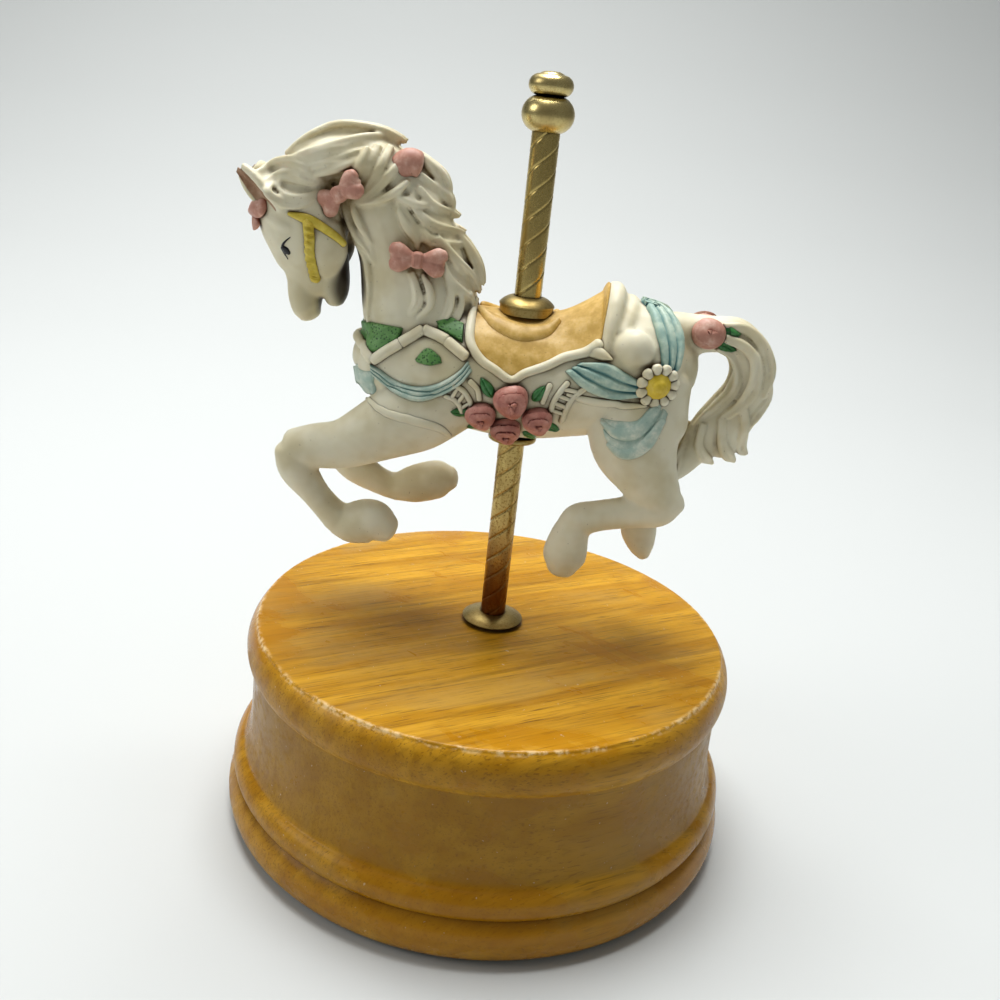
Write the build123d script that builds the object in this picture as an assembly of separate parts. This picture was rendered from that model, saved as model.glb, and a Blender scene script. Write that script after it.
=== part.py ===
from build123d import *
import math
import os

# Wind-up music box: a porcelain carousel horse on a spiral brass pole turns on a round
# wooden base that holds a spring-driven musical movement.
# Millimetres, +Z up, origin at the centre of the underside of the base.
# The horse runs along X and faces -X. The winding key is in the recess under the base.

# ---------------------------------------------------------------- driving dimensions

# Turned wooden base
BASE_RADIUS = 57.0
BASE_HEIGHT = 46.0
BASE_FOOT_EDGE_RADIUS = 53.4
FOOT_WIDEST_Z = 5.7
GROOVE_RADIUS = 54.9
GROOVE_Z = 10.4
BEAD_RADIUS = 56.0
BEAD_Z = 12.9
NECK_BOTTOM_RADIUS = 53.8
NECK_BOTTOM_Z = 16.6
NECK_PULL_RADIUS = 51.8
NECK_PULL_Z = 20.0
NECK_TOP_RADIUS = 52.2
NECK_TOP_Z = 36.8
NOSING_STEP = 0.3
NOSING_RADIUS = 53.6
NOSING_Z = 40.9
TOP_RADIUS = 51.6
RECESS_RADIUS = 46.5
RECESS_TOP = 15.0
CAVITY_RADIUS = 43.0
CAVITY_TOP = 40.0

# Fits
FIT = 0.05
PRESS = 0.03

# Bottom plate and movement bedplate
PLATE_RADIUS = 46.3
PLATE_THICKNESS = 3.0
PLATE_BOTTOM = RECESS_TOP - PLATE_THICKNESS
PLATE_BORE = 4.0
PLATE_SCREW_CIRCLE = 44.8
PLATE_SCREW_COUNT = 4
BED_THICKNESS = 2.0
BED_TOP = RECESS_TOP + BED_THICKNESS
BED_RADIUS = 42.0
BED_LEFT = -17.0
BED_HALF_DEPTH = 23.0
BED_SCREW_PLACES = ((-13.0, -14.0), (-13.0, 14.0), (36.5, -12.0))

# Axes of the gear train
CYLINDER_AXIS_Z = 26.5
SECOND_AXIS_Y = 10.8
GOVERNOR_X = 33.0

# Face gear on the barrel and cylinder pinion
FACE_MODULE = 0.6
FACE_TEETH = 42
PINION_TEETH = 10
FACE_PITCH_RADIUS = FACE_MODULE * FACE_TEETH / 2
FACE_PITCH_Z = CYLINDER_AXIS_Z + FACE_MODULE * PINION_TEETH / 2
FACE_TOOTH_INNER = 11.4
FACE_TOOTH_OUTER = 13.2
FACE_ADDENDUM = 0.42
FACE_DEDENDUM = 0.7
TOOTH_THINNING = 0.12
PRESSURE_ANGLE = 20.0

# Cylinder wheel and second pinion
WHEEL_MODULE = 0.5
WHEEL_TEETH = 34
SECOND_TEETH = 9

# Worm wheel and worm
WORM_MODULE = 0.35
WORM_WHEEL_TEETH = 22
WORM_WHEEL_RADIUS = WORM_MODULE * WORM_WHEEL_TEETH / 2
WORM_PITCH_RADIUS = 1.2
WORM_OUTER_RADIUS = 1.5
WORM_ROOT_RADIUS = 0.8
WORM_LEAD = math.pi * WORM_MODULE
WORM_BOTTOM = 21.0
WORM_TOP = 31.0
GOVERNOR_Y = SECOND_AXIS_Y + WORM_WHEEL_RADIUS + WORM_PITCH_RADIUS

# Music cylinder and comb
DRUM_LEFT = 16.0
DRUM_RIGHT = 34.5
DRUM_RADIUS = 5.5
PIN_REACH = 6.1
PIN_RADIUS = 0.22
NOTE_COUNT = 18
NOTE_PITCH = 1.0
FIRST_NOTE_X = 16.75
COMB_TIP_Y = -6.25
COMB_ROOT_Y = -13.5
COMB_BACK_Y = -22.5
COMB_SCREW_PLACES = ((18.6, -18.2), (31.9, -18.2))
LEDGE_TOP = 25.9

# Spring barrel, winding arbor and key
BARREL_RADIUS = 10.7
BARREL_WALL = 0.6
BARREL_BOTTOM = 18.2
BARREL_TOP = 36.5
COVER_TOP = 38.0
ARBOR_RADIUS = 2.0
ARBOR_BOTTOM = 2.5
ARBOR_TOP = 30.0
KEY_BOTTOM = 1.5
KEY_TOP = 10.5
KEY_HALF_SPAN = 14.0
KEY_THICKNESS = 2.0

# Rod, pole and brass fittings
ROD_RADIUS = 1.5
ROD_BOTTOM = 36.6
ROD_TOP = 159.6
WASHER_TOP = BASE_HEIGHT + 0.6
FLANGE_RADIUS = 6.7
FLANGE_BOTTOM = WASHER_TOP + FIT
FLANGE_TOP = 48.4
POLE_RADIUS = 2.74
POLE_BORE = 1.55
POLE_GROOVE_STARTS = 3
POLE_GROOVE_LEAD = 14.4
POLE_GROOVE_HALF_ANGLE = math.radians(6.5)
POLE_GROOVE_DEPTH = 0.2
BELLY_Z = 90.0
BELLY_COLLAR_RADIUS = 5.1
BELLY_COLLAR_HEIGHT = 1.2
BELLY_COLLAR_ROUNDING = 0.4
SEAT_Z = 115.6
SADDLE_COLLAR_BAND_RADIUS = 5.45
SADDLE_COLLAR_BAND = 1.6
SADDLE_COLLAR_DOME_RADIUS = 5.6
SADDLE_COLLAR_TOP = 119.1
FINIAL_BOTTOM = 150.4
FINIAL_BEAD_RADIUS = 5.1
FINIAL_BEAD_TOP = 156.8
FINIAL_CAP_RADIUS = 4.3
FINIAL_SHOULDER_Z = 160.7
FINIAL_TOP = 161.2

# ---------------------------------------------------------------- common shapes


def save(shape, name):
    """Write one node to its STEP file."""
    export_step(shape, f"parts/{name}.step")


def upright(radius, bottom, top, x=0.0, y=0.0):
    """Round bar along Z."""
    return Pos(x, y, bottom) * Cylinder(radius, top - bottom, align=(Align.CENTER, Align.CENTER, Align.MIN))


def lying(radius, left, right, y=0.0, z=CYLINDER_AXIS_Z):
    """Round bar along X."""
    bar = Cylinder(radius, right - left, align=(Align.CENTER, Align.CENTER, Align.MIN))
    return Pos(left, y, z) * Rot(0, 90, 0) * bar


def block(x0, x1, y0, y1, z0, z1):
    """Box between two corners."""
    return Pos((x0 + x1) / 2, (y0 + y1) / 2, (z0 + z1) / 2) * Box(x1 - x0, y1 - y0, z1 - z0)


def turned(outline):
    """Revolve a closed outline of curves in the XZ plane about Z."""
    return revolve(make_face(outline), Axis.Z)


def screw(x, y, tip, head_bottom, shank_radius, head_radius, head_height):
    """Pan-head screw with a slot, standing on its tip."""
    body = upright(shank_radius, tip, head_bottom, x, y)
    body += upright(head_radius, head_bottom, head_bottom + head_height, x, y)
    slot = block(x - head_radius, x + head_radius, y - 0.2, y + 0.2,
                 head_bottom + head_height / 2, head_bottom + head_height)
    return body - slot


def gear_outline(teeth, module, addendum, dedendum, steps=4):
    """Closed involute outline with a tooth on +X, teeth thinned for backlash."""
    pitch_radius = module * teeth / 2
    pressure = math.radians(PRESSURE_ANGLE)
    base_radius = pitch_radius * math.cos(pressure)
    half_tooth = math.pi / (2 * teeth) - TOOTH_THINNING / (2 * pitch_radius)
    root = pitch_radius - dedendum
    start = max(base_radius, root)
    flank = [start + (pitch_radius + addendum - start) * k / (steps - 1) for k in range(steps)]
    radii = [root] + flank

    def half_angle(radius):
        unwound = math.acos(min(1.0, base_radius / max(radius, base_radius)))
        return half_tooth + math.tan(pressure) - pressure - math.tan(unwound) + unwound

    points = []
    for tooth in range(teeth):
        middle = 2 * math.pi * tooth / teeth
        sides = [(r, middle - half_angle(r)) for r in radii]
        sides += [(r, middle + half_angle(r)) for r in reversed(radii)]
        points += [(r * math.cos(a), r * math.sin(a)) for r, a in sides]
    return make_face(Polyline(points, close=True))


def lying_gear(outline, left, right, y, turn):
    """Gear with its axis along X. A tooth that is on +X in its outline is turned from +Y towards +Z."""
    frame = Plane(origin=(left, y, CYLINDER_AXIS_Z), x_dir=(0, 1, 0), z_dir=(1, 0, 0))
    return extrude(frame * Rot(0, 0, turn) * outline, right - left)


# ---------------------------------------------------------------- wooden base


def base_body():
    """Turned case: foot torus, bead, slightly waisted neck and a top with a rounded nosing."""
    foot = ThreePointArc((BASE_FOOT_EDGE_RADIUS, 0), (BASE_RADIUS, FOOT_WIDEST_Z), (GROOVE_RADIUS, GROOVE_Z))
    bead = ThreePointArc((GROOVE_RADIUS, GROOVE_Z), (BEAD_RADIUS, BEAD_Z), (NECK_BOTTOM_RADIUS, NECK_BOTTOM_Z))
    neck = Bezier((NECK_BOTTOM_RADIUS, NECK_BOTTOM_Z), (NECK_PULL_RADIUS, NECK_PULL_Z),
                  (NECK_TOP_RADIUS, NECK_TOP_Z))
    nosing_start = (NECK_TOP_RADIUS + NOSING_STEP, NECK_TOP_Z)
    step = Line((NECK_TOP_RADIUS, NECK_TOP_Z), nosing_start)
    nosing = ThreePointArc(nosing_start, (NOSING_RADIUS, NOSING_Z), (TOP_RADIUS, BASE_HEIGHT))
    closing = Polyline((TOP_RADIUS, BASE_HEIGHT), (0, BASE_HEIGHT), (0, 0), (BASE_FOOT_EDGE_RADIUS, 0))
    body = turned(Plane.XZ * Curve([foot, bead, neck, step, nosing, closing]))
    body -= upright(RECESS_RADIUS, -1, RECESS_TOP)
    body -= upright(CAVITY_RADIUS, 0, CAVITY_TOP)
    body -= upright(4.0 + FIT, CAVITY_TOP - 1, BASE_HEIGHT + 1)
    for x, y in plate_screw_places():
        body -= upright(0.8 + FIT, RECESS_TOP - 1, 23.1, x, y)
    return body


def plate_screw_places():
    """Centres of the wood screws, at equal angles round the plate."""
    angles = [math.radians(45 + 360 * k / PLATE_SCREW_COUNT) for k in range(PLATE_SCREW_COUNT)]
    return [(PLATE_SCREW_CIRCLE * math.cos(a), PLATE_SCREW_CIRCLE * math.sin(a)) for a in angles]


def top_bush():
    """Brass bearing for the rod in the wooden top."""
    return upright(4.0, CAVITY_TOP, BASE_HEIGHT) - upright(ROD_RADIUS + FIT, CAVITY_TOP - 1, BASE_HEIGHT + 1)


def thrust_washer():
    """Thin washer that carries the turning flange."""
    return upright(5.0, BASE_HEIGHT, WASHER_TOP) - upright(ROD_RADIUS + 0.1, BASE_HEIGHT - 1, WASHER_TOP + 1)


def bottom_plate():
    """Plywood disc that closes the cavity and carries the movement."""
    plate = upright(PLATE_RADIUS, PLATE_BOTTOM, RECESS_TOP)
    plate -= upright(PLATE_BORE, PLATE_BOTTOM - 1, RECESS_TOP + 1)
    for x, y in plate_screw_places():
        plate -= upright(0.8 + FIT, PLATE_BOTTOM - 1, RECESS_TOP + 1, x, y)
    for x, y in BED_SCREW_PLACES:
        plate -= upright(1.25 + FIT, PLATE_BOTTOM - 1, RECESS_TOP + 1, x, y)
    return plate


def hanging_screws(places, head_top, tip, shank_radius, head_radius, head_height):
    """Screws driven upwards, heads below."""
    flipped = [screw(0, 0, 0, tip - head_top, shank_radius, head_radius, head_height)] * len(places)
    return [Pos(x, y, tip) * Rot(180, 0, 0) * one for one, (x, y) in zip(flipped, places)]


def bottom_plate_screws():
    """Wood screws from below into the shoulder of the case."""
    return hanging_screws(plate_screw_places(), PLATE_BOTTOM, 23.0, 0.8, 1.4, 1.0)


def bedplate():
    """Cast bedplate with the raised ledge that the comb is screwed to."""
    plate = block(BED_LEFT, BED_RADIUS, -BED_HALF_DEPTH, BED_HALF_DEPTH, RECESS_TOP, BED_TOP)
    plate &= upright(BED_RADIUS, RECESS_TOP, BED_TOP)
    plate += block(DRUM_LEFT, DRUM_RIGHT, COMB_BACK_Y, -16.0, RECESS_TOP, LEDGE_TOP)
    plate -= upright(ARBOR_RADIUS + 0.06, RECESS_TOP - 1, BED_TOP + 1)
    for x, y in BED_SCREW_PLACES:
        plate -= upright(1.25 + FIT, RECESS_TOP - 1, BED_TOP + 1, x, y)
    for x, y in COMB_SCREW_PLACES:
        plate -= upright(0.8 + FIT, 20.9, LEDGE_TOP + 1, x, y)
    for x, y in BRACKET_SCREW_PLACES + GOVERNOR_SCREW_PLACES:
        plate -= upright(0.8 + FIT, RECESS_TOP - 1, BED_TOP + 1, x, y)
    return plate


def bedplate_screws():
    """Machine screws from below, through the bottom plate, into the bedplate."""
    return hanging_screws(BED_SCREW_PLACES, PLATE_BOTTOM, BED_TOP, 1.25, 2.4, 1.4)


# ---------------------------------------------------------------- comb, brackets and governor frame

BRACKET_FOOT = 1.2
BRACKET_TOP = 29.4
BRACKET_SCREW_PLACES = ((17.4, -3.0), (17.4, 3.0), (40.0, -3.6), (40.0, 5.4))
INNER_BRACKET_LEFT = 13.9
OUTER_BRACKET_LEFT = 36.7
BRACKET_THICKNESS = 1.5
GOVERNOR_SCREW_PLACES = ((29.6, 14.8), (29.6, 18.8))
GOVERNOR_FOOT_TOP = 19.2
GOVERNOR_ARM_BOTTOM = 37.0
GOVERNOR_ARM_TOP = 38.2


def comb():
    """Steel comb: a heel plate and one tooth for each note, bass teeth on the left carrying weights."""
    plate = block(DRUM_LEFT, DRUM_RIGHT, COMB_BACK_Y, COMB_ROOT_Y, LEDGE_TOP, LEDGE_TOP + 1.2)
    tooth_z = CYLINDER_AXIS_Z
    for note in range(NOTE_COUNT):
        x = FIRST_NOTE_X + note * NOTE_PITCH
        plate += block(x - 0.36, x + 0.36, COMB_ROOT_Y - 1, COMB_TIP_Y, tooth_z - 0.25, tooth_z + 0.25)
        weight = 3.4 * (1 - note / NOTE_COUNT)
        if weight > 1.0:
            plate += block(x - 0.36, x + 0.36, -8.2 - weight, -8.2, tooth_z - 1.2, tooth_z)
    for x, y in COMB_SCREW_PLACES:
        plate -= upright(0.8 + FIT, LEDGE_TOP - 1, LEDGE_TOP + 3, x, y)
    return plate


def comb_screws():
    """Screws that clamp the comb to its ledge."""
    return [screw(x, y, 21.0, LEDGE_TOP + 1.2, 0.8, 1.8, 1.2) for x, y in COMB_SCREW_PLACES]


def inner_bracket():
    """Bearing plate between the barrel and the drum, with a foot under the drum."""
    left = INNER_BRACKET_LEFT
    plate = block(left, left + BRACKET_THICKNESS, -4.5, 4.5, BED_TOP, CYLINDER_AXIS_Z)
    plate += lying(2.9, left, left + BRACKET_THICKNESS)
    plate += block(left, 19.2, -4.5, 4.5, BED_TOP, BED_TOP + BRACKET_FOOT)
    plate -= lying(1.0 + FIT, left - 1, left + BRACKET_THICKNESS + 1)
    for x, y in BRACKET_SCREW_PLACES[:2]:
        plate -= upright(0.8 + FIT, BED_TOP - 1, BED_TOP + 2, x, y)
    return plate


def outer_bracket():
    """Bearing plate at the outer end of the cylinder and of the second arbor."""
    left = OUTER_BRACKET_LEFT
    right = left + BRACKET_THICKNESS
    plate = block(left, right, -5.5, 13.4, BED_TOP, BRACKET_TOP)
    plate += block(left, 41.2, -5.5, 7.4, BED_TOP, BED_TOP + BRACKET_FOOT)
    plate -= lying(1.0 + FIT, left - 1, right + 1)
    plate -= lying(0.75 + FIT, left - 1, right + 1, y=SECOND_AXIS_Y)
    for x, y in BRACKET_SCREW_PLACES[2:]:
        plate -= upright(0.8 + FIT, BED_TOP - 1, BED_TOP + 2, x, y)
    return plate


def bracket_screws():
    """Screws of both bearing brackets."""
    return [screw(x, y, RECESS_TOP, BED_TOP + BRACKET_FOOT, 0.8, 1.3, 0.8) for x, y in BRACKET_SCREW_PLACES]


def governor_frame():
    """Casting that holds the worm shaft at both ends and the inner end of the second arbor."""
    foot = block(25.5, 35.6, 13.0, 20.6, BED_TOP, GOVERNOR_FOOT_TOP)
    column = block(25.5, 27.5, 12.6, 20.6, BED_TOP, GOVERNOR_ARM_TOP)
    arm = block(26.5, GOVERNOR_X + 2, GOVERNOR_Y - 1.8, GOVERNOR_Y + 1.8, GOVERNOR_ARM_BOTTOM, GOVERNOR_ARM_TOP)
    lug = block(25.5, 27.5, SECOND_AXIS_Y - 2.0, 13.4, CYLINDER_AXIS_Z - 2.0, CYLINDER_AXIS_Z + 2.0)
    frame = foot + column + arm + lug
    frame -= upright(0.6 + FIT, 17.9, GOVERNOR_ARM_TOP + 1, GOVERNOR_X, GOVERNOR_Y)
    frame -= lying(0.75 + FIT, 24, 28.5, y=SECOND_AXIS_Y)
    for x, y in GOVERNOR_SCREW_PLACES:
        frame -= upright(0.8 + FIT, BED_TOP - 1, GOVERNOR_FOOT_TOP + 1, x, y)
    return frame


def governor_screws():
    """Screws of the governor frame."""
    return [screw(x, y, RECESS_TOP, GOVERNOR_FOOT_TOP, 0.8, 1.3, 0.8) for x, y in GOVERNOR_SCREW_PLACES]


def clutch_spring():
    """Close-wound spring that grips the winding arbor when it turns back."""
    coil = Helix(pitch=0.62, height=2.2, radius=ARBOR_RADIUS + 0.1 + 0.25)
    wire = Plane(origin=coil @ 0, z_dir=coil % 0) * Circle(0.25)
    return Pos(0, 0, PLATE_BOTTOM + 0.4) * sweep(wire, path=coil, is_frenet=True)


# ---------------------------------------------------------------- winding arbor and key


def winding_arbor():
    """Shaft from the key through the bedplate into the barrel, with a shoulder on the bedplate."""
    return upright(ARBOR_RADIUS, ARBOR_BOTTOM, ARBOR_TOP) + upright(3.2, BED_TOP + 0.1, BARREL_BOTTOM - 0.1)


def winding_key():
    """Butterfly key: a boss with two pierced wings."""
    middle = (KEY_BOTTOM + KEY_TOP) / 2
    wing_half = (KEY_TOP - KEY_BOTTOM) / 2
    frame = Plane(origin=(0, KEY_THICKNESS / 2, middle), x_dir=(1, 0, 0), z_dir=(0, -1, 0))
    lobe = Ellipse(5.6, wing_half)
    wings = Pos(KEY_HALF_SPAN - 5.6, 0) * lobe + Pos(5.6 - KEY_HALF_SPAN, 0) * lobe + Rectangle(14, 5)
    wings -= Pos(KEY_HALF_SPAN - 5.2, 0) * Ellipse(2.6, 1.8)
    wings -= Pos(5.2 - KEY_HALF_SPAN, 0) * Ellipse(2.6, 1.8)
    key = extrude(frame * wings, KEY_THICKNESS)
    key += upright(3.5, KEY_BOTTOM + 0.5, KEY_TOP - 0.5)
    return key - upright(ARBOR_RADIUS + PRESS, KEY_BOTTOM, KEY_TOP + 1)


# ---------------------------------------------------------------- barrel and mainspring


def face_tooth():
    """Wedge-shaped tooth pointing down, centred on +X, as wide as its share of the circle."""
    half_angle = (math.pi * FACE_MODULE / 4 - TOOTH_THINNING / 2) / FACE_PITCH_RADIUS
    slope = math.tan(math.radians(PRESSURE_ANGLE)) / FACE_PITCH_RADIUS
    sections = []
    for radius in (FACE_TOOTH_INNER, FACE_TOOTH_OUTER):
        tip = radius * (half_angle - slope * FACE_ADDENDUM)
        root_height = FACE_DEDENDUM + 0.3
        root = radius * (half_angle + slope * root_height)
        corners = ((-tip, -FACE_ADDENDUM), (tip, -FACE_ADDENDUM), (root, root_height), (-root, root_height))
        frame = Plane(origin=(radius, 0, FACE_PITCH_Z), x_dir=(0, 1, 0), z_dir=(1, 0, 0))
        sections.append(frame * make_face(Polyline(*corners, close=True)))
    return loft(sections, ruled=True)


def spring_barrel():
    """Cup for the mainspring with a toothed rim that drives the cylinder pinion."""
    rim_bottom = FACE_PITCH_Z + FACE_DEDENDUM
    cup = upright(BARREL_RADIUS, BARREL_BOTTOM, BARREL_TOP)
    cup += upright(FACE_TOOTH_OUTER + 0.1, rim_bottom, rim_bottom + 2.8)
    tooth = face_tooth()
    cup += [Rot(0, 0, 360 * (k + 0.5) / FACE_TEETH) * tooth for k in range(FACE_TEETH)]
    cup -= upright(BARREL_RADIUS - BARREL_WALL, BARREL_BOTTOM + 1, BARREL_TOP + 1)
    return cup - upright(ARBOR_RADIUS + FIT, BARREL_BOTTOM - 1, BARREL_BOTTOM + 2)


def barrel_cover():
    """Lid of the barrel with the boss that the rod is driven by."""
    cover = upright(BARREL_RADIUS, BARREL_TOP, COVER_TOP) + upright(3.2, BARREL_TOP, COVER_TOP + 1.4)
    return cover - upright(ROD_RADIUS + PRESS, BARREL_TOP - 1, COVER_TOP + 3)


def mainspring():
    """Flat spiral spring, hooked to the barrel wall."""
    turns = 7.5
    inner = ARBOR_RADIUS + 0.35
    outer = BARREL_RADIUS - BARREL_WALL - 0.05
    strip = 0.35
    steps = 24
    count = int(turns * steps)
    growth = (outer - strip - inner) / count
    inside = [((inner + growth * k), 2 * math.pi * k / steps) for k in range(count + 1)]
    outside = [(r + strip, a) for r, a in reversed(inside)]
    points = [(r * math.cos(a), r * math.sin(a)) for r, a in inside + outside]
    return Pos(0, 0, 20.2) * extrude(make_face(Polyline(points, close=True)), 15.6)


# ---------------------------------------------------------------- music cylinder and gear train


def music_cylinder():
    """Drum with a row of pins for each note, placed by a repeating pattern of steps."""
    drum = lying(DRUM_RADIUS, DRUM_LEFT, DRUM_RIGHT) - lying(1.0 + PRESS, DRUM_LEFT - 1, DRUM_RIGHT + 1)
    pin = Pos(0, 0, DRUM_RADIUS - 0.4) * Cylinder(PIN_RADIUS, PIN_REACH - DRUM_RADIUS + 0.4,
                                                  align=(Align.CENTER, Align.CENTER, Align.MIN))
    pins = []
    for note in range(NOTE_COUNT):
        x = FIRST_NOTE_X + note * NOTE_PITCH
        for beat in range(4):
            turn = (note * 47 + beat * 89) % 360
            pins.append(Pos(x, 0, CYLINDER_AXIS_Z) * Rot(turn, 0, 0) * pin)
    return drum + pins


def cylinder_arbor():
    """Shaft of the drum."""
    return lying(1.0, 11.2, 38.6)


def cylinder_pinion():
    """Pinion under the face gear, a tooth straight up at rest."""
    outline = gear_outline(PINION_TEETH, FACE_MODULE, 0.8 * FACE_MODULE, 1.3 * FACE_MODULE)
    return lying_gear(outline, FACE_TOOTH_INNER, 13.4, 0, 90) - lying(1.0 + PRESS, 11, 14)


def cylinder_wheel():
    """Wheel on the outer end of the drum, a tooth level towards +Y at rest."""
    outline = gear_outline(WHEEL_TEETH, WHEEL_MODULE, 0.8 * WHEEL_MODULE, 1.2 * WHEEL_MODULE)
    return lying_gear(outline, 35.0, 36.0, 0, 0) - lying(1.0 + PRESS, 34, 37)


def second_arbor():
    """Shaft between the governor frame and the outer bracket."""
    return lying(0.75, 25.3, 38.4, y=SECOND_AXIS_Y)


def second_pinion():
    """Pinion beside the cylinder wheel, a gap level towards -Y at rest."""
    outline = gear_outline(SECOND_TEETH, WHEEL_MODULE, 0.9 * WHEEL_MODULE, 1.3 * WHEEL_MODULE)
    pinion = lying_gear(outline, 34.8, 36.2, SECOND_AXIS_Y, 180 + 180 / SECOND_TEETH)
    return pinion - lying(0.75 + PRESS, 34, 37, y=SECOND_AXIS_Y)


def worm_wheel():
    """Wheel with teeth slanted to the lead of the worm, a tooth level towards +Y at rest."""
    half_width = 0.6
    lead_angle = math.atan2(WORM_LEAD, 2 * math.pi * WORM_PITCH_RADIUS)
    slant = math.degrees(half_width * math.tan(lead_angle) / WORM_WHEEL_RADIUS)
    outline = gear_outline(WORM_WHEEL_TEETH, WORM_MODULE, 0.3, 0.42, steps=2)
    sections = []
    for side in (-1, 1):
        frame = Plane(origin=(GOVERNOR_X + side * half_width, SECOND_AXIS_Y, CYLINDER_AXIS_Z),
                      x_dir=(0, 1, 0), z_dir=(1, 0, 0))
        sections.append(frame * Rot(0, 0, side * slant) * outline)
    wheel = loft(sections, ruled=True)
    return wheel - lying(0.75 + PRESS, 32, 34, y=SECOND_AXIS_Y)


def governor_worm():
    """Upright shaft with a single right-hand thread, a gap towards the wheel at rest."""
    shaft = upright(0.6, 18.0, GOVERNOR_ARM_TOP - 0.2, GOVERNOR_X, GOVERNOR_Y)
    shaft += upright(WORM_ROOT_RADIUS, WORM_BOTTOM - 0.4, WORM_TOP + 0.2, GOVERNOR_X, GOVERNOR_Y)
    height = WORM_TOP - WORM_BOTTOM - 1.2
    coil = Helix(pitch=WORM_LEAD, height=height, radius=WORM_ROOT_RADIUS)
    half_root = 0.30
    half_tip = 0.12
    reach = WORM_OUTER_RADIUS - WORM_ROOT_RADIUS
    corners = ((-0.12, -half_root), (reach, -half_tip), (reach, half_tip), (-0.12, half_root))
    section = Plane(origin=coil @ 0, x_dir=(1, 0, 0), z_dir=(0, -1, 0)) * make_face(Polyline(*corners, close=True))
    thread = sweep(section, path=coil, is_frenet=True)
    # The thread crosses the side that faces the wheel (-Y) half a lead above or below the wheel's axis.
    crossing = WORM_BOTTOM + 0.6 + 0.75 * WORM_LEAD
    steps = round((CYLINDER_AXIS_Z - crossing) / WORM_LEAD - 0.5)
    lift = CYLINDER_AXIS_Z - WORM_LEAD * (steps + 0.5) - 0.75 * WORM_LEAD
    return shaft + Pos(GOVERNOR_X, GOVERNOR_Y, lift) * thread


def governor_fan():
    """Air brake: a hub with two thin vanes."""
    hub = upright(1.3, 31.4, 33.0, GOVERNOR_X, GOVERNOR_Y)
    vane = block(GOVERNOR_X - 4.4, GOVERNOR_X + 4.4, GOVERNOR_Y - 0.2, GOVERNOR_Y + 0.2, 32.2, 36.4)
    collar = upright(1.0, 31.4, 36.4, GOVERNOR_X, GOVERNOR_Y)
    bore = upright(0.6 + PRESS, 31, 37, GOVERNOR_X, GOVERNOR_Y)
    return hub + vane + collar - bore


# ---------------------------------------------------------------- rod, pole and brass fittings


def center_rod():
    """Steel rod from the barrel cover to the finial."""
    return upright(ROD_RADIUS, ROD_BOTTOM, ROD_TOP)


def base_flange():
    """Shallow dome at the foot of the pole."""
    edge = FLANGE_BOTTOM + 0.4
    crown = ThreePointArc((FLANGE_RADIUS, edge), (4.6, FLANGE_TOP - 0.35), (POLE_RADIUS, FLANGE_TOP))
    rest = Polyline((POLE_RADIUS, FLANGE_TOP), (0, FLANGE_TOP), (0, FLANGE_BOTTOM),
                    (FLANGE_RADIUS - 0.3, FLANGE_BOTTOM), (FLANGE_RADIUS, edge))
    flange = turned(Plane.XZ * Curve([crown, rest]))
    return flange - upright(ROD_RADIUS + PRESS, FLANGE_BOTTOM - 1, FLANGE_TOP + 1)


def spiral_pole(bottom, top):
    """Brass tube with right-hand spiral grooves rolled into it."""
    step = 2 * math.pi / POLE_GROOVE_STARTS

    def rim(angle, radius=POLE_RADIUS):
        return radius * math.cos(angle), radius * math.sin(angle)

    edges = []
    for start in range(POLE_GROOVE_STARTS):
        middle = start * step
        before = middle - POLE_GROOVE_HALF_ANGLE
        after = middle + POLE_GROOVE_HALF_ANGLE
        edges += [ThreePointArc(rim(before), rim(middle, POLE_RADIUS - POLE_GROOVE_DEPTH), rim(after))]
        edges += [ThreePointArc(rim(after), rim(middle + step / 2), rim(before + step))]
    section = make_face(Curve(edges)) - Circle(POLE_BORE)
    height = top - bottom
    turn = 360 * height / POLE_GROOVE_LEAD
    tube = Solid.extrude_linear_with_rotation(section.face(), (0, 0, 0), (0, 0, height), turn)
    return Pos(0, 0, bottom) * tube


def belly_collar():
    """Thin ring under the belly."""
    ring = upright(BELLY_COLLAR_RADIUS, BELLY_Z - BELLY_COLLAR_HEIGHT, BELLY_Z)
    ring = fillet(ring.edges().filter_by(GeomType.CIRCLE), BELLY_COLLAR_ROUNDING)
    return ring - upright(POLE_RADIUS + PRESS, BELLY_Z - 3, BELLY_Z + 1)


def saddle_collar():
    """Flat band with a wider low dome above it, on the saddle."""
    band_top = SEAT_Z + SADDLE_COLLAR_BAND
    rim = band_top + 0.3
    neck = 3.0
    crown = ThreePointArc((SADDLE_COLLAR_DOME_RADIUS, rim), (4.6, rim + 0.95), (neck, SADDLE_COLLAR_TOP))
    rest = Polyline((neck, SADDLE_COLLAR_TOP), (0, SADDLE_COLLAR_TOP), (0, SEAT_Z),
                    (SADDLE_COLLAR_BAND_RADIUS, SEAT_Z), (SADDLE_COLLAR_BAND_RADIUS, band_top),
                    (SADDLE_COLLAR_DOME_RADIUS, band_top), (SADDLE_COLLAR_DOME_RADIUS, rim))
    collar = turned(Plane.XZ * Curve([crown, rest]))
    return collar - upright(POLE_RADIUS + PRESS, SEAT_Z - 1, SADDLE_COLLAR_TOP + 1)


def finial_bead():
    """Lower bead of the finial."""
    middle = (FINIAL_BOTTOM + FINIAL_BEAD_TOP) / 2
    neck = 2.9
    side = ThreePointArc((neck, FINIAL_BOTTOM), (FINIAL_BEAD_RADIUS, middle), (neck, FINIAL_BEAD_TOP))
    rest = Polyline((neck, FINIAL_BEAD_TOP), (0, FINIAL_BEAD_TOP), (0, FINIAL_BOTTOM), (neck, FINIAL_BOTTOM))
    ball = turned(Plane.XZ * Curve([side, rest]))
    return ball - upright(ROD_RADIUS + PRESS, FINIAL_BOTTOM - 1, FINIAL_BEAD_TOP + 1)


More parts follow.
